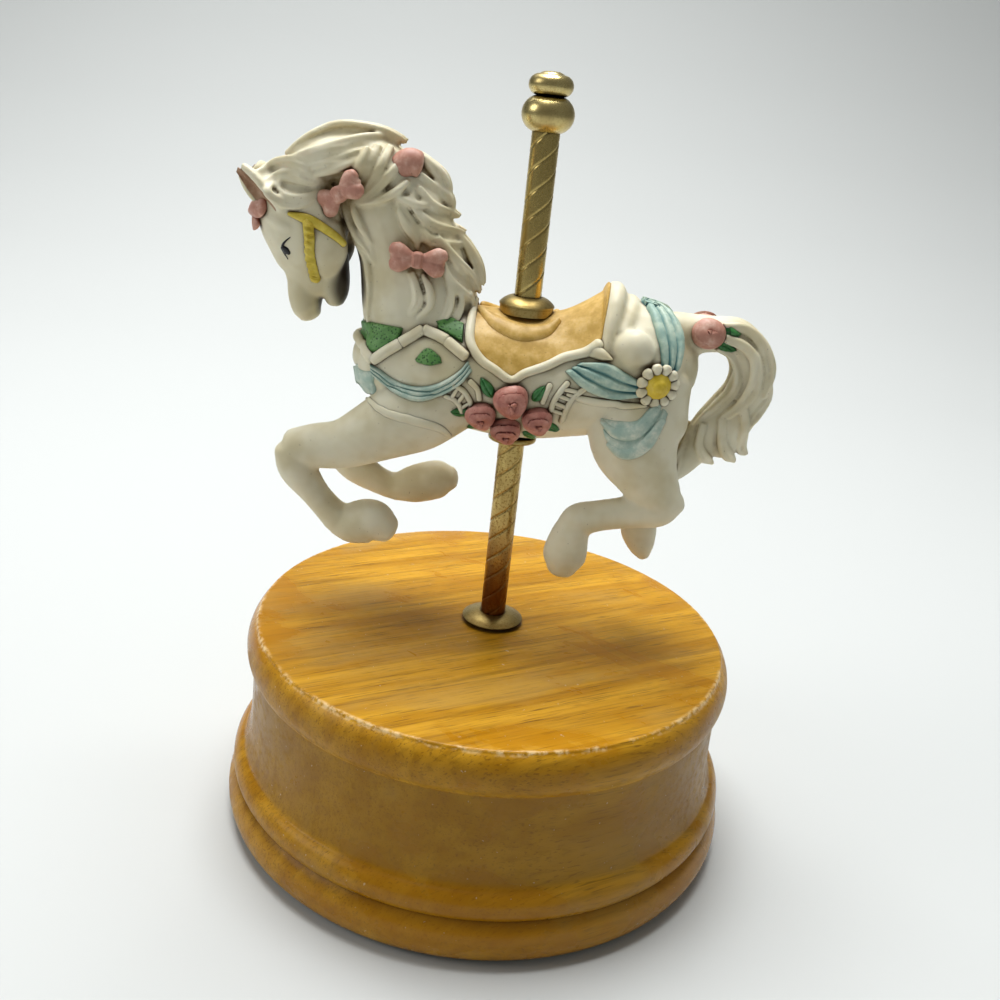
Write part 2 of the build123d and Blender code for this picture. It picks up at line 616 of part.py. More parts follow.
def finial_cap():
    """Flat upper bead, screwed on the end of the rod."""
    middle = (FINIAL_BEAD_TOP + FINIAL_SHOULDER_Z) / 2
    foot = 2.4
    flat = 0.8
    side = ThreePointArc((foot, FINIAL_BEAD_TOP), (FINIAL_CAP_RADIUS, middle), (foot, FINIAL_SHOULDER_Z))
    crown = ThreePointArc((foot, FINIAL_SHOULDER_Z), (foot / 2 + flat / 2, FINIAL_TOP - 0.1), (flat, FINIAL_TOP))
    rest = Polyline((flat, FINIAL_TOP), (0, FINIAL_TOP), (0, FINIAL_BEAD_TOP), (foot, FINIAL_BEAD_TOP))
    ball = turned(Plane.XZ * Curve([side, crown, rest]))
    return ball - upright(ROD_RADIUS + PRESS, FINIAL_BEAD_TOP - 1, ROD_TOP + 0.1)


# ---------------------------------------------------------------- horse
# A station is (x, y, z, half depth, half width): the middle of an oval section, its half
# size in the plane of the horse and its half size across. Each section stands square to the
# line of its limb.

TRUNK = ((-34.2, 0, 104.5, 3.0, 3.5), (-32.4, 0, 104.0, 6.8, 7.6), (-27.0, 0, 103.8, 10.2, 10.6),
         (-14.0, 0, 103.4, 12.4, 12.3), (0.0, 0, 102.3, 13.5, 12.8), (12.0, 0, 103.4, 12.1, 12.6),
         (24.0, 0, 105.4, 12.2, 12.2), (31.5, 0, 105.5, 10.0, 9.6), (35.2, 0, 106.0, 5.0, 5.0))
NECK = ((-19.5, 0, 104.0, 11.5, 10.5), (-21.5, 0, 116.0, 12.4, 9.4), (-24.6, 0, 127.0, 11.0, 8.0),
        (-30.0, 0, 136.0, 9.6, 7.4), (-36.0, 0, 141.8, 6.6, 6.2), (-40.0, 0, 144.2, 3.2, 3.6))
HEAD = ((-41.0, 0, 142.5, 6.5, 4.6), (-43.8, 0, 136.0, 8.6, 6.8), (-45.2, 0, 130.0, 8.8, 7.0),
        (-44.2, 0, 123.5, 7.4, 6.2), (-43.0, 0, 117.0, 5.3, 4.8), (-42.6, 0, 112.4, 4.4, 4.2),
        (-43.4, 0, 109.6, 2.4, 2.8))
MANE = ((-51.5, 0, 136.5, 1.8, 3.0), (-47.5, 0, 139.0, 4.0, 5.5), (-41.0, 0, 142.3, 4.8, 7.0),
        (-33.0, 0, 142.8, 5.0, 7.2), (-26.0, 0, 139.0, 5.5, 6.8), (-20.5, 0, 132.0, 5.0, 6.0),
        (-15.5, 0, 124.0, 4.0, 5.0))
EAR = ((-49.0, 4.6, 133.0, 2.4, 2.0), (-52.0, 4.8, 135.6, 2.2, 1.8), (-56.0, 5.0, 138.8, 0.6, 0.6))
NEAR_FOREARM = ((-14.0, -5.5, 98.0, 8.5, 5.5), (-22.0, -7.5, 93.0, 7.8, 5.2), (-30.0, -9.0, 88.4, 6.0, 4.6),
                (-38.0, -9.2, 85.3, 4.7, 4.0), (-44.6, -9.2, 84.6, 4.2, 3.8), (-47.6, -9.2, 84.0, 2.2, 2.2))
NEAR_SHANK = ((-44.8, -9.4, 86.2, 2.6, 2.6), (-43.6, -9.4, 81.0, 3.9, 3.6), (-39.2, -9.4, 75.0, 3.5, 3.2),
              (-34.6, -9.4, 70.6, 3.9, 3.6), (-32.0, -9.4, 68.8, 3.0, 3.0))
NEAR_HOOF = ((-35.5, -9.2, 70.3, 3.0, 3.2), (-32.0, -9.2, 69.8, 4.2, 4.2), (-27.4, -9.2, 70.4, 4.6, 4.6),
             (-23.4, -9.2, 69.6, 3.6, 4.0), (-21.8, -9.2, 69.4, 2.2, 2.4))
FAR_FOREARM = ((-14.0, 5.5, 98.0, 8.5, 5.5), (-22.0, 7.5, 92.0, 7.6, 5.2), (-29.5, 9.0, 86.4, 5.8, 4.6),
               (-36.0, 9.2, 81.0, 4.6, 4.0), (-39.4, 9.2, 77.2, 3.0, 3.2))
FAR_SHANK = ((-38.6, 9.2, 79.4, 3.2, 3.2), (-33.6, 9.2, 75.2, 3.7, 3.4), (-27.0, 9.2, 72.2, 3.5, 3.2),
             (-21.6, 9.2, 72.2, 3.8, 3.6))
FAR_HOOF = ((-24.0, 9.2, 71.9, 3.0, 3.0), (-20.0, 9.2, 73.2, 4.2, 4.2), (-14.6, 9.2, 74.8, 4.4, 4.4),
            (-11.0, 9.2, 75.6, 2.8, 3.2))
NEAR_THIGH = ((26.0, -5.5, 105.0, 10.0, 5.6), (24.4, -7.0, 97.0, 10.2, 5.4), (26.2, -8.0, 89.5, 8.0, 4.8),
              (30.4, -8.2, 83.4, 5.4, 4.2), (32.8, -8.2, 79.4, 3.4, 3.2))
NEAR_HIND_SHANK = ((35.0, -8.2, 80.6, 3.4, 3.2), (30.6, -8.2, 79.4, 4.0, 3.6), (23.0, -8.2, 77.2, 3.2, 3.0),
                   (17.0, -8.2, 75.8, 3.5, 3.2), (13.8, -8.2, 73.8, 3.0, 3.0))
NEAR_HIND_HOOF = ((15.8, -8.2, 76.4, 3.0, 3.0), (14.6, -8.2, 72.4, 4.0, 3.8), (13.9, -8.2, 67.0, 4.4, 4.4),
                  (13.4, -8.2, 63.2, 3.0, 3.6))
FAR_THIGH = ((26.0, 5.5, 105.0, 10.0, 5.6), (24.4, 7.0, 97.0, 10.2, 5.4), (26.0, 8.0, 89.5, 8.0, 4.8),
             (29.4, 8.2, 83.4, 5.4, 4.2), (31.6, 8.2, 79.0, 3.6, 3.4))
FAR_HIND_SHANK = ((32.6, 8.2, 81.4, 3.4, 3.2), (30.6, 8.2, 76.6, 3.6, 3.4), (30.4, 8.2, 71.6, 3.4, 3.2))
FAR_HIND_HOOF = ((30.2, 8.2, 73.4, 3.0, 3.0), (30.8, 8.2, 69.0, 4.0, 4.0), (32.2, 8.2, 64.4, 3.2, 3.6),
                 (33.0, 8.2, 61.8, 1.8, 2.4))
TAIL = ((31.0, 0, 113.2, 3.6, 3.6), (37.0, 0, 115.2, 3.4, 3.4), (43.2, 0, 115.2, 4.2, 3.8),
        (47.6, 0, 109.6, 5.0, 4.2), (46.8, 0, 102.0, 5.4, 4.4), (44.8, 0, 94.8, 5.6, 4.4),
        (45.2, 0, 88.4, 3.0, 3.0))
TAIL_LOCK = ((45.0, 0, 97.5, 3.6, 3.6), (40.0, -0.5, 91.6, 3.6, 3.4), (35.4, -3.0, 88.0, 3.0, 3.0),
             (31.4, -5.0, 85.4, 2.4, 2.4))


def mirrored(stations):
    """The same stations on the other side of the horse."""
    return tuple((x, -y, z, depth, width) for x, y, z, depth, width in stations)


def limb(stations):
    """Loft one smooth closed limb through its oval stations."""
    centres = [Vector(x, y, z) for x, y, z, _, _ in stations]
    sections = []
    for index, (_, _, _, depth, width) in enumerate(stations):
        before = centres[max(index - 1, 0)]
        after = centres[min(index + 1, len(centres) - 1)]
        line = (after - before).normalized()
        across = Vector(0, 1, 0) - line * line.Y
        frame = Plane(origin=centres[index], x_dir=across.normalized(), z_dir=line)
        sections.append(frame * Ellipse(width, depth))
    return loft(sections)


def horse():
    """One hollowless casting in a jumping pose, bored for the rod, with seats for the collars."""
    limbs = (TRUNK, NECK, HEAD, MANE, EAR, mirrored(EAR), NEAR_FOREARM, NEAR_SHANK, NEAR_HOOF, FAR_FOREARM,
             FAR_SHANK, FAR_HOOF, NEAR_THIGH, NEAR_HIND_SHANK, NEAR_HIND_HOOF, FAR_THIGH, FAR_HIND_SHANK, FAR_HIND_HOOF,
             TAIL, TAIL_LOCK)
    casting = limb(limbs[0])
    for stations in limbs[1:]:
        casting += limb(stations)
    casting -= upright(SADDLE_COLLAR_DOME_RADIUS + 0.15, SEAT_Z, SEAT_Z + 12)
    casting -= upright(BELLY_COLLAR_RADIUS + 0.15, BELLY_Z - 4, BELLY_Z)
    return casting - upright(ROD_RADIUS + FIT, BELLY_Z - 5, SEAT_Z + 5)


# ---------------------------------------------------------------- assembly

NODES = {
    "base_body": base_body,
    "top_bush": top_bush,
    "thrust_washer": thrust_washer,
    "bottom_plate": bottom_plate,
    "bottom_plate_screws": bottom_plate_screws,
    "bedplate": bedplate,
    "bedplate_screws": bedplate_screws,
    "comb": comb,
    "comb_screws": comb_screws,
    "inner_bracket": inner_bracket,
    "outer_bracket": outer_bracket,
    "bracket_screws": bracket_screws,
    "governor_frame": governor_frame,
    "governor_screws": governor_screws,
    "clutch_spring": clutch_spring,
    "winding_arbor": winding_arbor,
    "winding_key": winding_key,
    "spring_barrel": spring_barrel,
    "barrel_cover": barrel_cover,
    "mainspring": mainspring,
    "music_cylinder": music_cylinder,
    "cylinder_arbor": cylinder_arbor,
    "cylinder_pinion": cylinder_pinion,
    "cylinder_wheel": cylinder_wheel,
    "second_arbor": second_arbor,
    "second_pinion": second_pinion,
    "worm_wheel": worm_wheel,
    "governor_worm": governor_worm,
    "governor_fan": governor_fan,
    "center_rod": center_rod,
    "base_flange": base_flange,
    "lower_pole": lambda: spiral_pole(FLANGE_TOP, BELLY_Z),
    "belly_collar": belly_collar,
    "horse": horse,
    "saddle_collar": saddle_collar,
    "upper_pole": lambda: spiral_pole(SEAT_Z, FINIAL_BOTTOM),
    "finial_bead": finial_bead,
    "finial_cap": finial_cap,
}


def main():
    """Build every node and write its STEP file."""
    os.makedirs("parts", exist_ok=True)
    for name, build in NODES.items():
        shape = build()
        if isinstance(shape, list):
            shape = Compound(children=shape)
        save(shape, name)


main()
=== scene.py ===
"""Wind-up music box: a porcelain carousel horse on a spiral brass pole and a turned wooden base.

Everything is in metres in the packed frame: +Z up, origin at the centre of the underside of
the base, the horse running along X and facing -X. Sizes below are in millimetres and pass
through mm() on their way into a mesh.
"""

import logging
import math
from collections.abc import Callable, Sequence
from dataclasses import dataclass, field
from enum import Enum

import bmesh
import bpy
from mathutils import Matrix, Vector
from mathutils.bvhtree import BVHTree


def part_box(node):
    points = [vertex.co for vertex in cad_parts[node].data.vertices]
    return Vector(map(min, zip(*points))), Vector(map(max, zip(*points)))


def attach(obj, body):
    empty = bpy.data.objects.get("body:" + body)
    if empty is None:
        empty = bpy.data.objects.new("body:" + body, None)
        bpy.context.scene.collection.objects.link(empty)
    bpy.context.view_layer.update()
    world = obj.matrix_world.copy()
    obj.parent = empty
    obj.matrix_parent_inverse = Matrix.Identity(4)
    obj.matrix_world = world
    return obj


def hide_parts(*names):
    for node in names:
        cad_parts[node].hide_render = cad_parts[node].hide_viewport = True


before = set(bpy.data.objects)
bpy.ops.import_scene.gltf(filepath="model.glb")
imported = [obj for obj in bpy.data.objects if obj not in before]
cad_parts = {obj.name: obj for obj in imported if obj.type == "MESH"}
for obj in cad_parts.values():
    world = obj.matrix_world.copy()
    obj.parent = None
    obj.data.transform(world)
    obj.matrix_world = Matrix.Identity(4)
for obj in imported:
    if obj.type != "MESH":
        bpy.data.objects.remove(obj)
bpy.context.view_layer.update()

log = logging.getLogger("music_box")

Point = tuple[float, float]
Place = tuple[float, float, float]
Station = tuple[float, float, float, float, float]


def mm(*values: float) -> Vector | float:
    """Turn millimetres into metres.

    Args:
        values: one length, or the three coordinates of a point.

    Returns:
        One length in metres, or a Vector when three are given.
    """
    if len(values) == 1:
        return values[0] * 0.001
    return Vector(values) * 0.001


def linear(code: str) -> tuple[float, float, float, float]:
    """Turn an sRGB hex colour into linear light.

    Args:
        code: six hex digits.

    Returns:
        Linear red, green, blue and an alpha of one.
    """
    channels = [int(code[k : k + 2], 16) / 255 for k in (0, 2, 4)]
    light = [c / 12.92 if c <= 0.04045 else ((c + 0.055) / 1.055) ** 2.4 for c in channels]
    return (*light, 1.0)


# ------------------------------------------------------------------ shader nodes


class Shader:
    """One node tree that is filled a node at a time."""

    def __init__(self, name: str) -> None:
        """Start a material with an empty tree and an output.

        Args:
            name: the material's name.
        """
        self.material = bpy.data.materials.new(name)
        self.material.use_nodes = True
        self.tree = self.material.node_tree
        self.tree.nodes.clear()
        self.output = self.add("ShaderNodeOutputMaterial")

    def add(self, kind: str, sockets: dict | None = None, **settings: object) -> bpy.types.Node:
        """Add a node with its settings and links.

        Args:
            kind: the node's type.
            sockets: input name or number to a value, or to an output socket to link.
            settings: the node's own properties.

        Returns:
            The new node.
        """
        new = self.tree.nodes.new(kind)
        for key, value in settings.items():
            setattr(new, key, value)
        for key, value in (sockets or {}).items():
            if isinstance(value, bpy.types.NodeSocket):
                self.tree.links.new(value, new.inputs[key])
            else:
                new.inputs[key].default_value = value
        return new

    def object_point(self, turn: float = 0.0, scale: Place = (1, 1, 1)) -> bpy.types.NodeSocket:
        """Object coordinates in millimetres, turned about Z and stretched for a pattern.

        Args:
            turn: angle about Z in degrees.
            scale: repeats per millimetre along each axis, after the turn.

        Returns:
            A vector socket.
        """
        place = self.add("ShaderNodeTexCoord").outputs["Object"]
        turned = self.add("ShaderNodeMapping", {0: place, "Rotation": (0, 0, math.radians(turn))},
                          vector_type="POINT")
        size = tuple(s * 1000 for s in scale)
        return self.add("ShaderNodeMapping", {0: turned.outputs[0], "Scale": size}).outputs[0]

    def noise(self, point: bpy.types.NodeSocket, detail: float = 3.0, rough: float = 0.5, warp: float = 0.0,
              scale: float = 1.0) -> bpy.types.NodeSocket:
        """Noise value at a point, from 0 to 1."""
        sockets = {"Vector": point, "Scale": scale, "Detail": detail, "Roughness": rough, "Distortion": warp}
        return self.add("ShaderNodeTexNoise", sockets).outputs[0]

    def ramp(self, value: bpy.types.NodeSocket, low: float, high: float, to_low: float = 0.0,
             to_high: float = 1.0) -> bpy.types.NodeSocket:
        """Map a range of a value to another range with a smooth step."""
        sockets = {0: value, 1: low, 2: high, 3: to_low, 4: to_high}
        return self.add("ShaderNodeMapRange", sockets, interpolation_type="SMOOTHSTEP").outputs[0]

    def mix(self, factor: bpy.types.NodeSocket | float, first: object, second: object,
            blend: str = "MIX") -> bpy.types.NodeSocket:
        """Mix two colours."""
        sockets = {0: factor, 6: first, 7: second}
        return self.add("ShaderNodeMix", sockets, data_type="RGBA", blend_type=blend).outputs[2]

    def math(self, operation: str, first: object, second: object = 0.0) -> bpy.types.NodeSocket:
        """Combine two numbers."""
        node = self.add("ShaderNodeMath", {0: first, 1: second}, operation=operation, use_clamp=False)
        return node.outputs[0]

    def crevice(self, reach: float) -> bpy.types.NodeSocket:
        """How open the surface is: 1 in the open, falling to 0 deep in a hollow.

        Args:
            reach: how far the hollow's walls count, in millimetres.

        Returns:
            A value socket.
        """
        node = self.add("ShaderNodeAmbientOcclusion", {"Distance": mm(reach)}, samples=8, only_local=False)
        return node.outputs["AO"]

    def bump(self, height: bpy.types.NodeSocket, depth: float, strength: float = 1.0) -> bpy.types.NodeSocket:
        """Normal from a height pattern.

        Args:
            height: pattern from 0 to 1.
            depth: height of the pattern in millimetres.
            strength: share of the effect.

        Returns:
            A normal socket.
        """
        sockets = {"Height": height, "Distance": mm(depth), "Strength": strength}
        return self.add("ShaderNodeBump", sockets).outputs[0]

    def surface(self, **sockets: object) -> bpy.types.Material:
        """Finish the tree with a Principled shader.

        Args:
            sockets: input names, with underscores for spaces, to values or sockets.

        Returns:
            The material.
        """
        named = {key.replace("_", " "): value for key, value in sockets.items()}
        body = self.add("ShaderNodeBsdfPrincipled", named)
        self.tree.links.new(body.outputs[0], self.output.inputs[0])
        return self.material


@dataclass(frozen=True)
class LacqueredWood:
    """Pale hardwood, turned, stained honey-amber and sprayed with satin lacquer.

    The eye sees long soft bands and short dark pores that run along the grain, a duller
    neck, dirt in the grooves, a pale rubbed rim and a gloss that dust has dulled in places.
    """

    light: str = "CF9A24"
    honey: str = "B27C04"
    amber: str = "AC7000"
    # Grain streaks, and painted shade on the neck.
    neck: str = "805A06"
    # Pores, and painted shade in the hollows.
    dark_pores_and_shade: str = "452B0C"
    # Rubbed rim with a painted highlight.
    worn: str = "EBCB93"
    haze: str = "B08C48"
    # Painted shade on the foot and the nosing.
    foot: str = "7E5208"
    nosing: str = "80560A"
    speck: str = "D9CDB4"
    grain_turn: float = -30.0

    def material(self) -> bpy.types.Material:
        """Build the material."""
        s = Shader("lacquered_hardwood")
        place = s.object_point()
        axes = s.add("ShaderNodeSeparateXYZ", {0: place})
        height = axes.outputs[2]
        radius = s.add("ShaderNodeVectorMath", {0: s.add("ShaderNodeCombineXYZ", {
            0: axes.outputs[0], 1: axes.outputs[1]}).outputs[0]}, operation="LENGTH").outputs[1]
        # Growth bands about 5 mm wide and 60 mm long, streaks 1 mm wide, pores 0.3 mm wide and 7 mm long.
        bands = s.noise(s.object_point(self.grain_turn, (0.014, 0.20, 0.12)), 3.0, 0.55, 0.4)
        streaks = s.noise(s.object_point(self.grain_turn, (0.022, 1.0, 0.6)), 5.0, 0.62, 0.2)
        pores = s.noise(s.object_point(self.grain_turn, (0.14, 3.2, 2.4)), 2.0, 0.55)
        color = s.mix(s.ramp(bands, 0.36, 0.66), linear(self.light), linear(self.honey))
        color = s.mix(s.ramp(streaks, 0.46, 0.68, 0.0, 0.45), color, linear(self.neck))
        color = s.mix(s.ramp(pores, 0.55, 0.70, 0.0, 0.55), color, linear(self.dark_pores_and_shade))
        # Patches where the lacquer is clear and deep, 15 to 30 mm across, and dull dusty ones between.
        patches = s.noise(s.object_point(20, (0.030, 0.055, 0.055)), 4.0, 0.6, 0.5)
        deep = s.ramp(patches, 0.50, 0.62)
        color = s.mix(s.math("MULTIPLY", deep, 0.55), color, linear(self.amber))
        haze = s.noise(s.object_point(-30, (0.02, 0.045, 0.045)), 4.0, 0.62, 0.3)
        hazy = s.ramp(haze, 0.50, 0.66, 0.0, 0.45)
        color = s.mix(hazy, color, linear(self.haze))
        # Painted shade on the side, which faces away from the overhead light: most on the neck
        # between the two mouldings, which is also duller and browner, less on the foot and the nosing.
        neck = s.math("MULTIPLY", s.ramp(height, 16.0, 18.0), s.ramp(height, 37.0, 36.2))
        color = s.mix(s.math("MULTIPLY", neck, 0.62), color, linear(self.neck))
        foot = s.ramp(height, 18.0, 14.0, 0.0, 0.38)
        color = s.mix(foot, color, linear(self.foot))
        nosing = s.math("MULTIPLY", s.ramp(height, 36.4, 38.0), s.ramp(height, 45.6, 43.5))
        color = s.mix(s.math("MULTIPLY", nosing, 0.40), color, linear(self.nosing))
        # Painted shade in the hollows and where other parts sit close, with the dirt in the grooves,
        # and a rim rubbed pale with a painted highlight.
        opening = s.crevice(2.5)
        color = s.mix(s.ramp(opening, 0.80, 0.35, 0.0, 0.85), color, linear(self.dark_pores_and_shade))
        # Pale rim: rubbed wear and a painted highlight along the top edge.
        rim = s.math("MULTIPLY", s.ramp(height, 44.9, 45.7), s.ramp(radius, 50.6, 51.6))
        rub = s.ramp(s.noise(s.object_point(0, (0.10, 0.10, 0.3)), 4.0, 0.7), 0.44, 0.56)
        fine_rub = s.ramp(s.noise(s.object_point(0, (0.9, 0.9, 0.9)), 3.0, 0.6), 0.35, 0.6)
        worn = s.math("MULTIPLY", s.math("MULTIPLY", rim, rub), fine_rub)
        color = s.mix(worn, color, linear(self.worn))
        # Small chips and dust specks about half a millimetre across.
        specks = s.ramp(s.noise(s.object_point(33, (1.1, 1.1, 1.1)), 2.0, 0.5), 0.735, 0.765)
        color = s.mix(s.math("MULTIPLY", specks, 0.45), color, linear(self.speck))
        dust = s.noise(s.object_point(50, (0.35, 0.5, 0.5)), 6.0, 0.7)
        dull = s.math("MULTIPLY", s.ramp(dust, 0.4, 0.7), s.math("SUBTRACT", 1.0, deep))
        rough = s.math("ADD", s.math("MULTIPLY", dull, 0.22), s.ramp(deep, 0.0, 1.0, 0.34, 0.24))
        grain_height = s.math("ADD", s.math("MULTIPLY", pores, 0.6), s.math("MULTIPLY", streaks, 0.4))
        normal = s.bump(grain_height, 0.05, 0.5)
        return s.surface(Base_Color=color, Roughness=rough, Normal=normal, IOR=1.5, Specular_IOR_Level=0.2,
                         Coat_Weight=0.05, Coat_Roughness=0.22)


@dataclass(frozen=True)
class Brass:
    """Thin rolled brass under clear lacquer.

    The eye sees a warm yellow metal, bright on its ridges, with brown tarnish in grooves and,
    where moisture sat, reddish stains and fine speckle.
    """

    name: str
    color: str = "D8B56A"
    tarnish: str = "6E4E1C"
    rough: float = 0.24
    speckle: float = 0.2
    stain: float = 0.0
    stain_height: float = 60.0
    stain_color: str = "6B3A17"

    def material(self) -> bpy.types.Material:
        """Build the material."""
        s = Shader(self.name)
        height = s.add("ShaderNodeSeparateXYZ", {0: s.object_point()}).outputs[2]
        cloud = s.noise(s.object_point(0, (0.25, 0.25, 0.12)), 4.0, 0.6)
        fine = s.noise(s.object_point(0, (2.2, 2.2, 2.2)), 3.0, 0.6)
        color = s.mix(s.ramp(cloud, 0.35, 0.7, 0.0, 0.35), linear(self.color), linear(self.tarnish))
        color = s.mix(s.ramp(fine, 0.5, 0.66, 0.0, self.speckle), color, linear(self.tarnish))
        color = s.mix(s.ramp(s.crevice(0.8), 0.92, 0.5, 0.0, 0.95), color, linear("2E1D08"))
        if self.stain > 0:
            reach = s.ramp(height, self.stain_height + 12, self.stain_height - 10)
            spread = s.math("MULTIPLY", reach, s.ramp(cloud, 0.25, 0.55, 0.55, 1.0))
            color = s.mix(s.math("MULTIPLY", spread, self.stain), color, linear(self.stain_color))
        rough = s.math("ADD", s.math("MULTIPLY", fine, 0.22),
                       s.ramp(cloud, 0.3, 0.7, self.rough - 0.1, self.rough))
        return s.surface(Base_Color=color, Metallic=1.0, Roughness=rough, Normal=s.bump(fine, 0.02, 0.35))


@dataclass(frozen=True)
class PlainMetal:
    """A metal part of the movement: cast, machined or spring-tempered."""

    name: str
    color: str
    rough: float = 0.35
    grit: float = 1.5

    def material(self) -> bpy.types.Material:
        """Build the material."""
        s = Shader(self.name)
        grain = s.noise(s.object_point(0, (self.grit, self.grit, self.grit)), 3.0, 0.6)
        dark = tuple(c * 0.6 for c in linear(self.color)[:3]) + (1.0,)
        color = s.mix(s.ramp(grain, 0.4, 0.75, 0.0, 0.5), linear(self.color), dark)
        rough = s.ramp(grain, 0.3, 0.7, self.rough - 0.08, self.rough + 0.08)
        return s.surface(Base_Color=color, Metallic=1.0, Roughness=rough, Normal=s.bump(grain, 0.02, 0.4))


@dataclass(frozen=True)
class RawPlywood:
    """Bare birch plywood under the base, with open grain and no gloss."""

    color: str = "B99565"
    dark: str = "8A6637"

    def material(self) -> bpy.types.Material:
        """Build the material."""
        s = Shader("raw_plywood")
        fibres = s.noise(s.object_point(12, (0.05, 1.4, 1.4)), 5.0, 0.65, 0.2)
        color = s.mix(s.ramp(fibres, 0.38, 0.68), linear(self.color), linear(self.dark))
        return s.surface(Base_Color=color, Roughness=0.75, Normal=s.bump(fibres, 0.06, 0.6))


@dataclass(frozen=True)
class MouldedNylon:
    """Natural nylon of the air brake, slightly waxy."""

    color: str = "E2DECF"

    def material(self) -> bpy.types.Material:
        """Build the material."""
        s = Shader("natural_nylon")
        cloud = s.noise(s.object_point(0, (0.8, 0.8, 0.8)), 3.0, 0.5)
        color = s.mix(s.ramp(cloud, 0.3, 0.7, 0.0, 0.3), linear(self.color), linear("C9C2AC"))
        return s.surface(Base_Color=color, Roughness=0.45, IOR=1.53)


@dataclass(frozen=True)
class Bisque:
    """Unglazed bisque porcelain with an antique wash.

    The eye sees an ivory body with a soft sheen like skin, brown stain left in every hollow
    and an airbrushed brown shade on the jaw and between the legs.
    """

    body: str = "E6E0C6"
    warm: str = "C2B382"
    # Antique wash and painted shade in the wide hollows.
    wash: str = "8A7340"
    # Wash and painted shade in the tight hollows.
    deep: str = "452F14"
    # Painted shade on the jaw and under the chin.
    shade: str = "2C2014"
    jaw_shade_spots: tuple[Place, ...] = ((-36.2, 0.0, 122.0), (-35.6, 0.0, 117.6), (-41.9, 0.0, 113.6))
    jaw_shade_reach: tuple[float, ...] = (5.6, 6.4, 3.5)

    def material(self) -> bpy.types.Material:
        """Build the material."""
        s = Shader("bisque_porcelain")
        point = s.object_point()
        cloud = s.noise(s.object_point(0, (0.09, 0.09, 0.09)), 3.0, 0.55)
        fine = s.noise(s.object_point(0, (0.8, 0.8, 0.8)), 4.0, 0.6)
        wide = s.crevice(5.0)
        tight = s.crevice(1.3)
        color = s.mix(s.ramp(cloud, 0.40, 0.68, 0.0, 0.55), linear(self.body), linear(self.warm))
        # Antique wash and painted shade: brown in the wide hollows, deep brown in the tight ones.
        stain = s.math("MULTIPLY", s.ramp(wide, 0.82, 0.32), s.ramp(fine, 0.25, 0.65, 0.6, 1.0))
        color = s.mix(s.math("MULTIPLY", stain, 0.85), color, linear(self.wash))
        color = s.mix(s.ramp(tight, 0.88, 0.42, 0.0, 0.95), color, linear(self.deep))
        # Painted shade along the back of the jaw and under the chin, each spot about 5 mm across.
        for spot, reach in zip(self.jaw_shade_spots, self.jaw_shade_reach):
            away = s.add("ShaderNodeVectorMath", {0: point, 1: spot}, operation="DISTANCE").outputs["Value"]
            color = s.mix(s.ramp(away, reach, reach - 2.6, 0.0, 0.93), color, linear(self.shade))
        # Kiln specks 0.3 mm across.
        specks = s.ramp(s.noise(s.object_point(15, (1.9, 1.9, 1.9)), 1.0, 0.5), 0.76, 0.80, 0.0, 0.6)
        color = s.mix(specks, color, linear("6A5534"))
        rough = s.ramp(fine, 0.3, 0.7, 0.46, 0.60)
        return s.surface(Base_Color=color, Roughness=rough, Normal=s.bump(fine, 0.03, 0.35), IOR=1.5,
                         Subsurface_Weight=0.25, Subsurface_Radius=(1.0, 0.8, 0.55), Subsurface_Scale=mm(1.2))


# ------------------------------------------------------------------ bench tools


def pick(*objects: bpy.types.Object) -> None:
    """Select these objects alone and make the last one active.

    Args:
        objects: the objects.
    """
    bpy.ops.object.select_all(action="DESELECT")
    for one in objects:
        one.select_set(True)
    bpy.context.view_layer.objects.active = objects[-1]


def finish_with(obj: bpy.types.Object, kind: str, **settings: object) -> None:
    """Add one modifier and apply it.

    Args:
        obj: the piece.
        kind: the modifier's type.
        settings: its properties.
    """
    pick(obj)
    step = obj.modifiers.new(kind.lower(), kind)
    for key, value in settings.items():
        setattr(step, key, value)
    bpy.ops.object.modifier_apply(modifier=step.name)


def merge_and_face_out(obj: bpy.types.Object) -> None:
    """Merge doubles and turn all faces outwards.

    Args:
        obj: the piece.
    """
    pick(obj)
    bpy.ops.object.mode_set(mode="EDIT")
    bpy.ops.mesh.select_all(action="SELECT")
    bpy.ops.mesh.remove_doubles(threshold=mm(0.0005))
    bpy.ops.mesh.normals_make_consistent(inside=False)
    bpy.ops.object.mode_set(mode="OBJECT")


def smooth(obj: bpy.types.Object, angle: float = 35.0) -> None:
    """Shade smooth up to an angle in degrees."""
    pick(obj)
    bpy.ops.object.shade_smooth_by_angle(angle=math.radians(angle))


def bow(start: Point, through: Point, end: Point, steps: int = 16) -> list[Point]:
    """Points on the round arc from start through a middle point to the end.

    Args:
        start: first point, left out of the result.
        through: a point on the arc.
        end: last point.
        steps: number of points returned.

    Returns:
        Points after the start, up to and with the end.
    """
    (ax, ay), (bx, by), (cx, cy) = start, through, end
    spread = 2 * (ax * (by - cy) + bx * (cy - ay) + cx * (ay - by))
    sa, sb, sc = ax * ax + ay * ay, bx * bx + by * by, cx * cx + cy * cy
    ux = (sa * (by - cy) + sb * (cy - ay) + sc * (ay - by)) / spread
    uy = (sa * (cx - bx) + sb * (ax - cx) + sc * (bx - ax)) / spread
    radius = math.hypot(ax - ux, ay - uy)
    first, middle, last = (math.atan2(y - uy, x - ux) for x, y in (start, through, end))
    to_middle = (middle - first) % math.tau
    sweep = (last - first) % math.tau
    if to_middle > sweep:
        sweep -= math.tau
    angles = [first + sweep * (k + 1) / steps for k in range(steps)]
    return [(ux + radius * math.cos(a), uy + radius * math.sin(a)) for a in angles]


